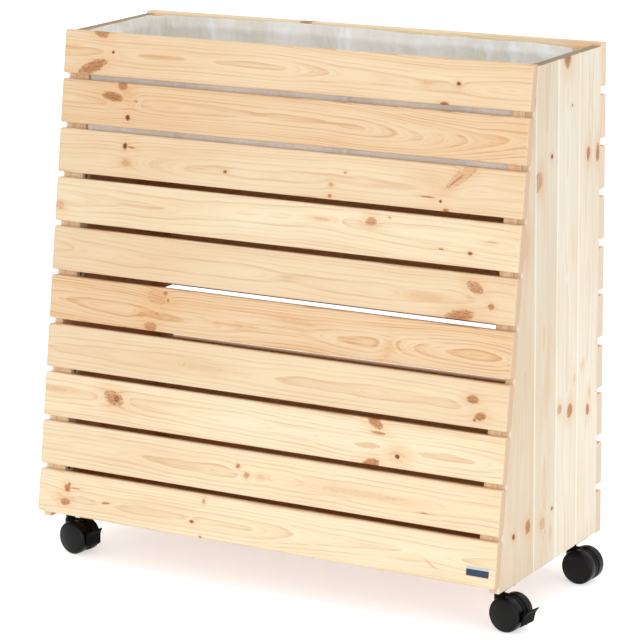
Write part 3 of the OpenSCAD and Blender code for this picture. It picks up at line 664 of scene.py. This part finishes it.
# As the slats' cuts, but along is the height and across is Y in the frame, both in mm.
RIGHT_CUTS = [
    dict(warmth=0.10, light=1.000, pitch=3.8,
         crest=[(75, 150), (400, 140), (927, 146)],
         depth=[(75, 9.0), (300, 9.6), (600, 10.1), (927, 10.8)],
         knots=[(753, 137, 13, 7, 0, 0.80), (748, 174, 16, 7, 0, 0.80), (307, 145, 11, 7, 0, 0.80),
                (336, 151, 8, 4, 0, 0.35), (391, 124, 6, 5, 0, 0.2)]),
    dict(warmth=0.06, light=0.985, pitch=3.6,
         crest=[(75, 66), (500, 60), (927, 56)],
         depth=[(75, 10.5), (300, 10.1), (600, 9.6), (927, 8.6)],
         knots=[(931, 54, 24, 14, 0, 0.86), (844, 73, 2.5, 3, 0, 0.8), (322, 74, 13, 10, 20, 0.78),
                (334, 34, 9, 8, 0, 0.52), (375, 91, 7, 2, 0, 0.4)]),
    dict(warmth=0.32, light=0.930, pitch=3.9,
         crest=[(75, -20), (500, -28), (927, -18)],
         depth=[(75, 8.5), (400, 9.1), (927, 10.0)],
         knots=[(771, -2, 4.5, 4.5, 0, 1.15), (736, -52, 17, 14, 20, 0.50), (152, -29, 11, 10, 0, 0.42),
                (168, 8, 4, 4, 0, 1.05), (128, 2, 10, 4, 0, 0.2)]),
    dict(warmth=0.60, light=0.930, pitch=3.5,
         crest=[(75, -120), (500, -90), (927, -60)],
         depth=[(75, 9.2), (400, 9.8), (927, 10.6)],
         knots=[(159, -136, 6, 6, 0, 1.15), (161, -83, 12, 10, 0, 0.80), (640, -96, 26, 10, 0, 0.22)]),
]
for n, cut in enumerate(RIGHT_CUTS, 1):
    wall_board(1, n, cut, 500 + n, wall_timber(f"right_wall_timber_{n}", cut))
for n in range(1, BOARD_COUNT + 1):
    cut = moved_cut(chance_cut(600 + n, (RIM - WALL_FOOT) / MM, BOARD_W / MM), WALL_FOOT / MM,
                    (board_rears[n - 1] - BOARD_W) / MM)
    cut["warmth"] *= 0.6
    wall_board(-1, n, cut, 700 + n, wall_timber(f"left_wall_timber_{n}", cut))

# ---------------------------------------------------------------------------------------------------------------
# Inner frame. Square spruce battens behind the slats, rails and cleats across the end walls, and the boards of the
# trough's floor and of the base, all sawn and left rough, screwed together out of sight. Of each: the direction of
# its grain, its colour and its solids. The back battens' colour is a darker, shaded copy of the front ones', and
# the rails, cleats and floors take the orange-brown painted shade of the box's inside.
INNER_WOODS = {
    "upright": ((1, 1, 14), srgb(255, 232, 198), ["front_upper_battens", "front_lower_battens"]),
    "shaded_rear_upright": ((1, 1, 14), srgb(230, 184, 132), ["back_upper_battens", "back_lower_battens"]),
    "crossways": ((1, 14, 1), SHADED_INNER_WOOD, ["base_rails", "left_floor_cleat", "right_floor_cleat"]),
    "lengthways": ((14, 1, 1), SHADED_INNER_WOOD, ["trough_floor", "base_floor"]),
}


def rough_timber(name, draw, sawn):
    """Sawn softwood on the solid's own coordinates: noise drawn out along the grain gives rings and fibre."""
    made = Finish(name, roughness=0.72, specular=0.25)
    at = made.place()
    ring = made.noise(at, 26, draw, 2.0) * 9.0
    part = ring - ring.math("FLOOR")
    fibre = made.noise(at, 900, draw, 3.0, 0.65)
    wood = made.mix(made.noise(at, 12, draw).step(0.3, 0.7), sawn, made.tinted(sawn, 0.9))
    wood = made.mix(part.step(0.3, 0.95) * part.step(1.0, 0.95) * 0.35, wood, LATE_WOOD)
    wood = made.tinted(wood, (fibre - 0.5) * 0.24 + 1.0)
    made.drive(Base_Color=wood, Roughness=fibre * 0.2 + 0.62)
    made.bump(fibre, 0.6, 0.0006)
    return made.material


def coat_node(name, material):
    """Gives a solid that stays as it is a finish of its own."""
    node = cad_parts[name]
    node.data.materials.clear()
    node.data.materials.append(material)


for direction, (draw, sawn, names) in INNER_WOODS.items():
    material = rough_timber(f"rough_timber_{direction}", draw, sawn)
    for name in names:
        coat_node(name, material)

# ---------------------------------------------------------------------------------------------------------------
# Metal. Zinc-plated wood screws hold the slats to the battens and the frame to the end walls; the casters hang on
# zinc-plated plates with pan-head screws, and their wheels turn on plated axles.
ZINC_DARK = srgb(150, 146, 134)
ZINC_LIGHT = srgb(192, 188, 174)


def plated(name, draw, light=1.0):
    """Zinc plating: a dull spangle, cloudy patches and faint marks drawn out by rolling or turning."""
    made = Finish(name, specular=0.6)
    made.shader.inputs["Metallic"].default_value = 1.0
    at = made.place()
    spangle = made.noise(at, 420, (1, 1, 1), 2.0, 0.7)
    patch = made.noise(at, 70, (1, 1, 1), 2.0)
    marks = made.noise(at, 1600, draw, 2.0, 0.6)
    metal = made.mix(spangle.step(0.35, 0.65) * 0.6 + patch.step(0.3, 0.7) * 0.4, ZINC_DARK, ZINC_LIGHT)
    made.drive(Base_Color=made.tinted(metal, (marks * 0.2 + 0.85) * light),
               Roughness=marks * 0.2 + patch * 0.15 + 0.24)
    made.bump(marks * 0.5 + spangle * 0.5, 0.25, 0.0002)
    return made.material


coat_node("wood_screws", plated("screw_zinc", (1, 1, 1), light=0.6))
coat_node("caster_screws", plated("caster_screw_zinc", (1, 1, 4)))
coat_node("caster_plates", plated("plate_zinc", (9, 1, 1)))

# ---------------------------------------------------------------------------------------------------------------
# Liner. One sheet of grey, milky film, welded into an open bag with its corners cut out. It is stapled under the
# rim, steps round the battens and hangs in soft folds, with one crease along it from when it was folded flat.
FILM_T = 0.0004
FILM_REST = 0.0010
FILM_FOOT = 0.7275
FILM_RIM = 0.9258
FILM_STEP = 0.0035
BATTEN = 0.024
HANG = 0.0030
CREASE_Z = 0.9085
CREASE_DEPTH = 0.0034
CREASE_HALF_W = 0.016
CREASE_WANDER = 0.0022
RIM_WANDER = 0.0016
FLOOR_WANDER = 0.0008
SMALL_FOLDS = 60
FOOT_BAND = 0.03
FOOT_REACH = 0.004
MIDDLE_LEVEL = 30
LONG_RUN = 0.05
# Fold and crease depths at which the painted highlight along them is full.
FOLD_HIGHLIGHT_DEPTH = 0.004
CREASE_HIGHLIGHT_DEPTH = 0.009
END_INNER_X = HALF - END_T
FILM_GREY = srgb(243, 239, 229)
FILM_PALE = srgb(252, 249, 244)
FILM_HIGHLIGHT = srgb(255, 255, 255)
# Gathered folds: how far round the bag from its rear right corner, half width, depth and slant; and the rise of
# the rim line along the back.
FOLDS = [(0.118, 0.020, 0.0050, 0.10), (0.166, 0.012, 0.0030, -0.06), (0.052, 0.026, 0.0050, 0.35),
         (0.443, 0.013, 0.0055, 0.02), (0.458, 0.008, 0.0035, -0.05), (0.722, 0.016, 0.0045, 0.15),
         (0.300, 0.030, 0.0022, 0.2), (0.570, 0.034, 0.0024, -0.15),
         (1.30, 0.02, 0.004, 0.1), (1.62, 0.015, 0.004, -0.1), (1.86, 0.02, 0.003, 0.1), (0.97, 0.02, 0.003, 0.1),
         (2.10, 0.02, 0.003, 0.1)]
RIM_LINE = [(-0.43, 0.0010), (-0.21, 0.0030), (0.0, 0.0020), (0.15, -0.0005), (0.30, -0.0020), (0.38, -0.0035),
            (0.41, -0.0070)]


def film_corners(z):
    """The bag's twelve corners in plan at each height z, as X and Y: the walls' planes drawn in by the film's rest
    and stepped in by a batten's width at each corner."""
    rest = FILM_REST + 0 * z
    xo = END_INNER_X - rest
    xb = xo - BATTEN
    yr = BACK_INNER_Y - rest
    yb = yr - BATTEN
    yf = lean_line(z) + rest / math.cos(LEAN)
    yc = yf + BATTEN / math.cos(LEAN)
    x = np.stack([xb, -xb, -xb, -xo, -xo, -xb, -xb, xb, xb, xo, xo, xb])
    y = np.stack([yr, yr, yb, yb, yc, yc, yf, yf, yc, yc, yb, yb])
    return x, y


def waves_along(at, seed, lengths):
    """Sum of sines of the given wavelengths with chance phases, each weighted by its wavelength, about -1 to 1."""
    draw = np.random.default_rng(seed)
    total = sum(w * np.sin(2 * math.pi * (at / w + draw.uniform())) for w in lengths)
    return total / sum(lengths)


def film_sheet():
    """The bag as a grid: u runs round it and v from the middle of its floor, over the floor's edge, to the rim.

    Round each level the plan's corners are joined by straight runs and then smoothed by a running mean of 9 mm.
    The film is then moved in from the wall by a hang that grows to mid-height, sharp ridges where it is
    gathered (a cusp, one minus the distance over the width), and the crease (a cusp in the height)."""
    heights = np.concatenate([np.linspace(FILM_FOOT, FILM_FOOT + FOOT_BAND, 7)[:-1],
                              np.linspace(FILM_FOOT + FOOT_BAND, FILM_RIM, 46)])
    x, y = film_corners(heights)
    middle = np.stack([x[:, MIDDLE_LEVEL], y[:, MIDDLE_LEVEL]], -1)
    runs = np.linalg.norm(np.roll(middle, -1, 0) - middle, axis=1)
    counts = np.maximum(2, np.round(runs / FILM_STEP).astype(int))
    share = np.concatenate([np.arange(c) / c for c in counts])
    corner = np.repeat(np.arange(12), counts)
    after = (corner + 1) % 12
    px = x[corner] + (x[after] - x[corner]) * share[:, None]
    py = y[corner] + (y[after] - y[corner]) * share[:, None]
    window = np.hanning(5)
    window /= window.sum()
    px, py = (sum(w * np.roll(p, i - 2, 0) for i, w in enumerate(window)) for p in (px, py))
    steps = np.hypot(np.diff(px[:, MIDDLE_LEVEL]), np.diff(py[:, MIDDLE_LEVEL]))
    along = np.concatenate([[0], np.cumsum(steps)])
    around = len(along)
    level = (heights - FILM_FOOT) / (FILM_RIM - FILM_FOOT)
    tangent = np.stack([np.roll(px, -1, 0) - np.roll(px, 1, 0), np.roll(py, -1, 0) - np.roll(py, 1, 0)], -1)
    tangent /= np.linalg.norm(tangent, axis=-1, keepdims=True)
    inward = np.stack([tangent[..., 1], -tangent[..., 0]], -1)
    to_middle = np.stack([-px, (py.mean() - py)], -1)
    inward *= np.sign((inward * to_middle).sum(-1, keepdims=True).sum(0, keepdims=True))

    u = along[:, None]
    z = heights[None, :]
    wide = np.repeat(runs > LONG_RUN, counts)[:, None]
    hang = (0.6 + 0.5 * waves_along(u + 0.02 * z, 11, (0.31, 0.17, 0.09))) * np.sin(math.pi * level) * HANG
    folds = np.zeros((around, len(heights)))
    draw = np.random.default_rng(23)
    for at, width, depth, slant in FOLDS:
        away = np.abs(u - at - slant * (z - 0.9))
        away = np.minimum(away, along[-1] - away)
        folds += depth * np.maximum(0, 1 - away / width) ** 1.4 * (0.35 + 0.65 * np.sin(math.pi * level * 0.9 + 0.2))
    for _ in range(SMALL_FOLDS):
        at, width, depth = draw.uniform(0, along[-1]), draw.uniform(0.006, 0.022), draw.uniform(0.0002, 0.0011)
        centre, reach = draw.uniform(0.2, 1.0), draw.uniform(0.12, 0.5)
        away = np.abs(u - at - draw.uniform(-0.3, 0.3) * (z - 0.85))
        folds += (depth * np.maximum(0, 1 - away / width) ** 1.2
                  * np.exp(-((level - centre) / reach) ** 2))
    wander = CREASE_WANDER * waves_along(u, 31, (0.5, 0.21, 0.08))
    crease = CREASE_DEPTH * np.maximum(0, 1 - np.abs(z - CREASE_Z - wander) / CREASE_HALF_W) ** 1.3
    inset = (hang + folds + crease) * wide + FILM_T
    inset *= np.clip((heights - FILM_FOOT) / FOOT_REACH, 0, 1)
    px, py = px + inward[..., 0] * inset, py + inward[..., 1] * inset
    at_back = py[:, -1] > BACK_INNER_Y - 0.03
    top = RIM_WANDER * waves_along(along, 41, (0.4, 0.16, 0.07)) + np.interp(px[:, -1], *zip(*RIM_LINE)) * at_back
    pz = z + (level ** 3)[None, :] * top[:, None]

    centre = np.array([0.0, (BACK_INNER_Y + lean_line(FILM_FOOT)) / 2])
    inner = np.linspace(0, 1, 13)[1:-1]
    fx = centre[0] + (px[:, :1] - centre[0]) * inner
    fy = centre[1] + (py[:, :1] - centre[1]) * inner
    fz = FILM_FOOT + FLOOR_WANDER * (1 + waves_along(fx + 0.7 * fy, 51, (0.21, 0.09, 0.05))) * np.sin(math.pi * inner)
    grid = np.stack([np.concatenate([fx, px], 1), np.concatenate([fy, py], 1), np.concatenate([fz, pz], 1)], -1)
    flat = np.stack([fy * 0.7, fx * 0.7, 0 * fx + 0.4], -1)
    hung = np.stack([u + 0 * z, z - FILM_FOOT + 0 * u, 0 * u * z], -1)
    place = np.concatenate([flat, hung], 1)
    levels = grid.shape[1]
    points = np.concatenate([grid.reshape(-1, 3), [[*centre, FILM_FOOT]]])
    place = np.concatenate([place.reshape(-1, 3), [[centre[1] * 0.7, 0, 0.4]]])
    i, j = np.meshgrid(np.arange(around), np.arange(levels - 1), indexing="ij")
    k = (i + 1) % around
    quads = np.stack([i * levels + j, k * levels + j, k * levels + j + 1, i * levels + j + 1], -1).reshape(-1, 4)
    first = np.arange(around) * levels
    fans = np.stack([np.roll(first, -1), first, np.full(around, around * levels)], -1)
    mesh = bpy.data.meshes.new("liner_film_sheet")
    mesh.from_pydata(points.tolist(), [], quads.tolist() + fans.tolist())
    carry(mesh, "place", place)
    # Painted highlight: how far each fold and the crease stand in, for the film to be painted whiter along them.
    raised = folds / FOLD_HIGHLIGHT_DEPTH + crease / CREASE_HIGHLIGHT_DEPTH
    fold_highlight = np.concatenate([np.zeros((around, len(inner))), raised], 1)
    carry(mesh, "fold_highlight", np.append(fold_highlight.ravel(), 0))
    mesh.shade_smooth()
    return mesh


film = bpy.data.objects.new("liner_film", film_sheet())
bpy.context.scene.collection.objects.link(film)
wall = film.modifiers.new("gauge", "SOLIDIFY")
wall.thickness = FILM_T
wall.offset = 0.0
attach(film, "planter_box")
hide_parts("liner")


def milky_film(name):
    """Milky film: cloudy along the roll, crazed with fine wrinkles and see-through, with painted highlights in white
    along its gathered folds, its crease, thin veins and wrinkles.
    """
    made = Finish(name, specular=0.5)
    place = made.attribute("place", "Vector")
    fold_highlight = made.attribute("fold_highlight")
    haze = made.noise(place, 12, (1, 3.0, 1), 2.0, 0.5)
    wrinkle = made.noise(place, 75, (1, 3, 1), 2.0, 0.5)
    crackle = made.noise(place, 480, (1, 1.6, 1), 2.0, 0.6)
    vein = (made.noise(place, 17, (1, 1.7, 1), 3.0, 0.55) - 0.5).math("ABSOLUTE").step(0.022, 0.0)
    # Painted highlight: folds, crease, veins and wrinkles turn white and more opaque, standing in for their glints.
    white = fold_highlight.step(0.12, 0.85) * 0.9 + vein * 0.28 + wrinkle.step(0.58, 0.76) * 0.2
    tone = made.mix(haze.step(0.36, 0.64), FILM_GREY, FILM_PALE)
    tone = made.mix(white.step(0.0, 1.0), tone, FILM_HIGHLIGHT)
    made.drive(Base_Color=tone, Roughness=wrinkle * 0.25 + 0.16,
               Alpha=haze.step(0.3, 0.7) * 0.06 + white.step(0.0, 1.0) * 0.06 + 0.87)
    made.bump(wrinkle * 0.7 + crackle * 0.12 + vein * 0.35, 0.4, 0.0012)
    return made.material


film.data.materials.append(milky_film("milky_film"))

# ---------------------------------------------------------------------------------------------------------------
# Label. A thin blank plate of printed plastic, stuck flat on the lowest slat near its right end: dark blue below,
# with a pale band along its top.
LABEL_MID_DOWN = (SLAT_COUNT - 1) * FRONT_PITCH + SLAT_H * 2 / 3
LABEL_H = 0.0155
BAND_H = 0.0042
LABEL_NAVY = srgb(34, 56, 76)
LABEL_PALE = srgb(196, 208, 212)


def printed_plate(name):
    """Two flat inks split by a height, with a little grain in each and a satin face."""
    made = Finish(name, specular=0.5)
    at = made.place()
    split = RIM - (LABEL_MID_DOWN - LABEL_H / 2 + BAND_H) * math.cos(LEAN) + SLAT_T * math.sin(LEAN)
    high = made.along("Z", at).step(split - 0.0002, split + 0.0002)
    grain = made.noise(at, 900, (1, 1, 1), 2.0)
    ink = made.mix(high, LABEL_NAVY, LABEL_PALE)
    made.drive(Base_Color=made.tinted(ink, grain * 0.2 + 0.9), Roughness=grain * 0.15 + 0.3)
    made.bump(grain, 0.2, 0.0001)
    return made.material


coat_node("label_plate", printed_plate("label_print"))

# ---------------------------------------------------------------------------------------------------------------
# Casters. Four twin-wheel casters of black moulded nylon: a domed wheel on each side of a hood that swivels under
# the plate, a plated axle through all three, and on the front pair a brake pedal behind the wheels. CASTERS gives
# each one's side and row, its wheels' heading and how far its pedal is pressed, in degrees.
BLACK = srgb(10, 10, 10)
BLACK_RUBBED = srgb(17, 17, 18)
CASTER_Y = BACK_OUTER_Y - 0.067
CASTER_X = HALF - 0.0235
TRAIL = 0.022
WHEEL_R = 0.030
CASTER_W = 0.056
WEB_T = 0.012
HOOD_DRAWN_IN = 0.0012
HOOD_GROUND = 0.010
HOOD_TOP = 0.060
NECK_R = 0.0085
CASTERS = [("front_right", 1, -1, -8, 12), ("front_left", -1, -1, -9, 0),
           ("back_right", 1, 1, -4, None), ("back_left", -1, 1, 200, None)]


def moulded_nylon(name, rough, shine):
    """Black nylon from a fine spark-eroded mould: a satin skin with a faint grain and rubbed patches."""
    made = Finish(name, specular=shine)
    at = made.place()
    grain = made.noise(at, 2600, (1, 1, 1), 2.0, 0.6)
    rubbed = made.noise(at, 90, (1, 1, 1), 3.0)
    made.drive(Base_Color=made.mix(rubbed.step(0.45, 0.7) * 0.5, BLACK, BLACK_RUBBED),
               Roughness=grain * 0.10 + rubbed * 0.12 + rough)
    made.bump(grain, 0.18, 0.0001)
    return made.material


def caster_frame(side, row, heading):
    """Frame place from a caster's own, where the swivel's axis is Z, the ground is 0 and the wheels trail along +X:
    turned about that axis by the heading and moved to the corner of the box given by side and row."""
    c, s = math.cos(math.radians(heading)), math.sin(math.radians(heading))

    def to_frame(x, y, z):
        return (side * CASTER_X + x * c - y * s, row * CASTER_Y + x * s + y * c, z + 0 * x)
    return to_frame


def turned_wheel(name, to_frame, hand):
    """Wheel as a surface of revolution about the axle: from the hub's inner end, over the recess and the tyre's
    rounded shoulders, across the groove where the cap is pressed in, to the crown of the cap.

    The tread is an arc of large radius; the cap's crown falls by the square of the radius."""
    inner = WEB_T / 2 + 0.001
    out = CASTER_W / 2
    shoulder, crown, groove_r = 0.0062, 0.0034, 0.0262
    arc = np.linspace(0, math.pi / 2, 11)
    tread_r = WHEEL_R - shoulder
    tyre = np.linspace(inner + 0.0012, out - crown - shoulder, 6)
    tread = np.stack([WHEEL_R - 0.00025 * ((tyre - tyre.mean()) / (np.ptp(tyre) / 2)) ** 2, tyre], -1)
    edge = np.stack([tread_r + shoulder * np.cos(arc), out - crown - shoulder + shoulder * np.sin(arc)], -1)
    edge = edge[edge[:, 0] > groove_r]
    cap_r = np.concatenate([[0.0256, 0.0252, 0.0246], np.linspace(0.0235, 0.0, 14)])
    fall = crown * (cap_r / tread_r) ** 2
    fall[0] += 0.0005
    cap = np.stack([cap_r, out - fall], -1)
    groove = [(0.0260, out - crown - 0.00055), (0.0259, out - crown - 0.0011), (0.0257, out - crown - 0.0011)]
    recess = [(0.0, inner + 0.0002), (0.0079, inner + 0.0002), (0.0080, inner + 0.0080), (0.0252, inner + 0.0080),
              (0.0254, inner + 0.0002), (0.0290, inner), (0.0297, inner + 0.0004)]
    profile = np.concatenate([recess, tread, edge, groove, cap])
    turn = np.linspace(0, 2 * math.pi, 96, endpoint=False)
    radius, across = profile[1:-1, :1], hand * profile[1:-1, 1:]
    x = TRAIL + radius * np.cos(turn)
    z = WHEEL_R + radius * np.sin(turn)
    grid = np.stack(to_frame(x, across + 0 * x, z), -1)
    poles = [np.array(to_frame(TRAIL, hand * profile[i, 1], WHEEL_R)) for i in (0, -1)]
    return closed_mesh(name, grid, *poles)


def hood_web(name, to_frame):
    """The hood's web between the wheels: its side view is a radius for each angle about the axle, the larger of
    the hood's circle and the line up to the neck, cut flat above the ground; its long edges are rounded by an arc.
    """
    turn = np.linspace(0, 2 * math.pi, 160, endpoint=False)
    c, s = np.cos(turn), np.sin(turn)
    hood = np.full_like(turn, WHEEL_R - HOOD_DRAWN_IN)
    foot = np.where(s < -0.05, (WHEEL_R - HOOD_GROUND) / np.maximum(-s, 1e-3), 1.0)
    lead = np.where(c < -0.05, (TRAIL + NECK_R) / np.maximum(-c, 1e-3), 1.0)
    radius = np.minimum(np.minimum(hood, foot), 1.0)
    neck = (s > 0.2) & (c < -0.15)
    roof = (HOOD_TOP - WHEEL_R) / np.maximum(s, 1e-3)
    radius = np.where(neck, np.maximum(radius, np.minimum(lead, roof)), radius)
    window = np.hanning(7)
    window /= window.sum()
    radius = sum(w * np.roll(radius, i - 3) for i, w in enumerate(window))
    ease = 0.0018
    arc = np.linspace(0, math.pi / 2, 6)
    across = np.concatenate([-WEB_T / 2 + ease * (1 - np.cos(arc)), WEB_T / 2 - ease * (1 - np.cos(arc[::-1]))])
    drawn = np.concatenate([ease * (1 - np.sin(arc)), ease * (1 - np.sin(arc[::-1]))])
    r = radius[None, :] - drawn[:, None]
    r = np.concatenate([r[:1] * 0.5, r, r[-1:] * 0.5])
    across = np.concatenate([across[:1], across, across[-1:]])[:, None] + 0 * r
    grid = np.stack(to_frame(TRAIL + r * c, across, WHEEL_R + r * s), -1)
    poles = [np.array(to_frame(TRAIL, a, WHEEL_R)) for a in (-WEB_T / 2, WEB_T / 2)]
    return closed_mesh(name, grid, *poles)


def neck_socket(name, to_frame):
    """Neck around the stem, as a surface of revolution about the swivel: a collar, a waist and a flared foot."""
    profile = np.array([(0.0042, 0.0706), (0.0078, 0.0706), (0.0084, 0.0700), (0.0085, 0.0680), (0.0083, 0.0664),
                        (0.0080, 0.0655), (0.0081, 0.0600), (0.0083, 0.0560), (0.0085, 0.0500), (0.0080, 0.0450),
                        (0.0060, 0.0420)])
    turn = np.linspace(0, 2 * math.pi, 48, endpoint=False)
    x = profile[:, :1] * np.cos(turn)
    y = profile[:, :1] * np.sin(turn)
    grid = np.stack(to_frame(x, y, profile[:, 1:] + 0 * x), -1)
    poles = [np.array(to_frame(0.0, 0.0, profile[i, 1])) for i in (0, -1)]
    return closed_mesh(name, grid, *poles)


BRAKE_PIN = (TRAIL + 0.0225, WHEEL_R - 0.011)


def turned_about_pin(ahead, above, degrees):
    """Side view of a point given from the brake's pin, after the pedal is pressed down by the angle: the pin, plus
    (ahead cos + above sin, above cos - ahead sin)."""
    angle = math.radians(degrees)
    return (BRAKE_PIN[0] + ahead * math.cos(angle) + above * math.sin(angle),
            BRAKE_PIN[1] - ahead * math.sin(angle) + above * math.cos(angle))


def brake_blade(name, to_frame, pressed):
    """Brake pedal: its side view is a closed curve of the pad's two faces and the tread's lip, carried across the
    blade's width; towards each end the curve shrinks about its middle line by an arc. It turns about its pin."""
    pad = TRAIL + WHEEL_R + 0.0013
    face = np.array([(pad, 0.016), (pad, 0.0410), (TRAIL + 0.0382, 0.0472)])
    back = np.array([(TRAIL + 0.039, 0.0450), (pad + 0.0032, 0.0370), (pad + 0.0032, 0.0200)])
    middle = np.array([(pad + 0.0016, 0.0180), (pad + 0.0016, 0.0390), (TRAIL + 0.0384, 0.0460)])
    share = np.linspace(0, 1, 9)
    along = np.concatenate([face[0] + (face[1] - face[0]) * share[:-1, None],
                            face[1] + (face[2] - face[1]) * share[:, None],
                            back[0] + (back[1] - back[0]) * share[:, None],
                            back[1] + (back[2] - back[1]) * share[1:, None]])
    spine = np.concatenate([middle[0] + (middle[1] - middle[0]) * share[:-1, None],
                            middle[1] + (middle[2] - middle[1]) * share[:, None],
                            middle[2] + (middle[1] - middle[2]) * share[:, None],
                            middle[1] + (middle[0] - middle[1]) * share[1:, None]])
    half, ease = 0.0175, 0.0012
    arc = np.linspace(0, math.pi / 2, 5)
    across = np.concatenate([-half + ease * (1 - np.cos(arc)), half - ease * (1 - np.cos(arc[::-1]))])
    full = np.concatenate([0.35 + 0.65 * np.sin(arc), 0.35 + 0.65 * np.sin(arc[::-1])])
    side_view = spine[None] + (along - spine)[None] * full[:, None, None]
    x, z = turned_about_pin(side_view[..., 0] - BRAKE_PIN[0], side_view[..., 1] - BRAKE_PIN[1], pressed)
    grid = np.stack(to_frame(x, across[:, None] + 0 * x, z), -1)
    return closed_mesh(name, grid, grid[0].mean(0), grid[-1].mean(0))


def pedal_arm(name, to_frame, pressed):
    """Arm from the pin to the pad: a bar carried along X, rounded off round the pin by an arc. Its section has the
    square roots of the cosine and the sine of one angle, a square with round corners. It turns as the blade does."""
    turn = np.linspace(0, 2 * math.pi, 20, endpoint=False)
    reach = np.linspace(-0.0030, 0.0098, 7)
    tall = np.sqrt(np.clip(1 - (np.minimum(reach, 0) / 0.0032) ** 2, 0.04, 1)) * 0.0031
    x0 = reach[:, None] + 0 * turn
    y0 = 0.0022 * np.sign(np.cos(turn)) * np.abs(np.cos(turn)) ** 0.5 + 0 * x0
    z0 = tall[:, None] * np.sign(np.sin(turn)) * np.abs(np.sin(turn)) ** 0.5
    x, z = turned_about_pin(x0, z0, pressed)
    grid = np.stack(to_frame(x, y0, z), -1)
    return closed_mesh(name, grid, grid[0].mean(0), grid[-1].mean(0))


wheel_nylon = moulded_nylon("wheel_nylon", rough=0.20, shine=0.20)
hood_nylon = moulded_nylon("hood_nylon", rough=0.38, shine=0.10)
pedal_nylon = moulded_nylon("pedal_nylon", rough=0.55, shine=0.10)
axle_zinc = plated("axle_zinc", (1, 4, 1))
for name, side, row, heading, pressed in CASTERS:
    to_frame = caster_frame(side, row, heading)
    swivel, brake = f"{name}_swivel", f"{name}_brake"
    for which, hand in (("near", -1), ("far", 1)):
        tyre = f"{name}_{which}_tyre"
        add_piece(tyre, turned_wheel(tyre, to_frame, hand), wheel_nylon, f"{name}_{which}_roller",
                  [f"{name}_{which}_wheel"])
    hood, neck = f"{name}_hood", f"{name}_neck"
    add_piece(hood, hood_web(hood, to_frame), hood_nylon, swivel, [f"{name}_housing"])
    add_piece(neck, neck_socket(neck, to_frame), hood_nylon, swivel, [])
    coat_node(f"{name}_axle", axle_zinc)
    if pressed is not None:
        pedal, arm = f"{name}_pedal", f"{name}_pedal_arm"
        add_piece(pedal, brake_blade(pedal, to_frame, pressed), pedal_nylon, brake,
                  [f"{name}_brake_pedal"])
        add_piece(arm, pedal_arm(arm, to_frame, pressed), pedal_nylon, brake, [])

# ---------------------------------------------------------------------------------------------------------------
# Stage. A pale floor with soft light from all round and two soft boxes, in front and to the right, as in a packshot.
# Seen straight, mirrored or through the film, floor and surround are white. All other light from them is dimmer.
FLOOR_HALF = 40.0
FLOOR_GREY = srgb(246, 246, 246)
FLOOR_LIFT = 0.55
SURROUND = 0.84
FRONT_WATTS = 60.0
RIGHT_WATTS = 36.0
WHITE = (1, 1, 1, 1)
PLAIN_RAYS = ("Is Camera Ray", "Is Glossy Ray", "Is Transmission Ray")

floor_mesh = bpy.data.meshes.new("floor")
floor_mesh.from_pydata([(-FLOOR_HALF, -FLOOR_HALF, 0), (FLOOR_HALF, -FLOOR_HALF, 0), (FLOOR_HALF, FLOOR_HALF, 0),
                        (-FLOOR_HALF, FLOOR_HALF, 0)], [], [(0, 1, 2, 3)])
floor = bpy.data.objects.new("floor", floor_mesh)
bpy.context.scene.collection.objects.link(floor)
pale = Finish("pale_floor", roughness=0.9, specular=0.0)
pale.shader.inputs["Base Color"].default_value = FLOOR_GREY
seen, mirrored, through = (pale.node("ShaderNodeLightPath", None, None, kind) for kind in PLAIN_RAYS)
ray = seen.math("MAXIMUM", mirrored).math("MAXIMUM", through)
lift = pale.node("ShaderNodeEmission", None, {"Color": WHITE, "Strength": ray * FLOOR_LIFT})
added = pale.node("ShaderNodeAddShader", None, {0: Field(pale, pale.shader.outputs[0]), 1: lift})
pale.tree.links.new(added.socket, pale.tree.nodes["Material Output"].inputs["Surface"])
floor_mesh.materials.append(pale.material)

world = bpy.data.worlds.new("surround")
world.use_nodes = True
bpy.context.scene.world = world
sky = world.node_tree.nodes["Background"]
path = world.node_tree.nodes.new("ShaderNodeLightPath")
strength = world.node_tree.nodes.new("ShaderNodeMapRange")
strength.inputs["To Min"].default_value = SURROUND
strength.inputs["To Max"].default_value = 1.0
shown = path.outputs[PLAIN_RAYS[0]]
for kind in PLAIN_RAYS[1:]:
    either = world.node_tree.nodes.new("ShaderNodeMath")
    either.operation = "MAXIMUM"
    world.node_tree.links.new(shown, either.inputs[0])
    world.node_tree.links.new(path.outputs[kind], either.inputs[1])
    shown = either.outputs[0]
world.node_tree.links.new(shown, strength.inputs["Value"])
world.node_tree.links.new(strength.outputs[0], sky.inputs["Strength"])
sky.inputs["Color"].default_value = WHITE


def lamp(name, place, aim, size, watts):
    """Square soft box at a place, aimed at a point."""
    light = bpy.data.lights.new(name, "AREA")
    light.size = size
    light.energy = watts
    obj = bpy.data.objects.new(name, light)
    obj.location = place
    obj.rotation_mode = "QUATERNION"
    obj.rotation_quaternion = (Vector(place) - Vector(aim)).to_track_quat("Z", "Y")
    bpy.context.scene.collection.objects.link(obj)


lamp("front_box", place=(1.6, -5.2, 1.5), aim=(0, 0, 0.4), size=2.6, watts=FRONT_WATTS)
lamp("right_box", place=(5.2, -1.6, 1.2), aim=(0, 0, 0.35), size=1.8, watts=RIGHT_WATTS)

bpy.context.scene.view_settings.view_transform = "Standard"
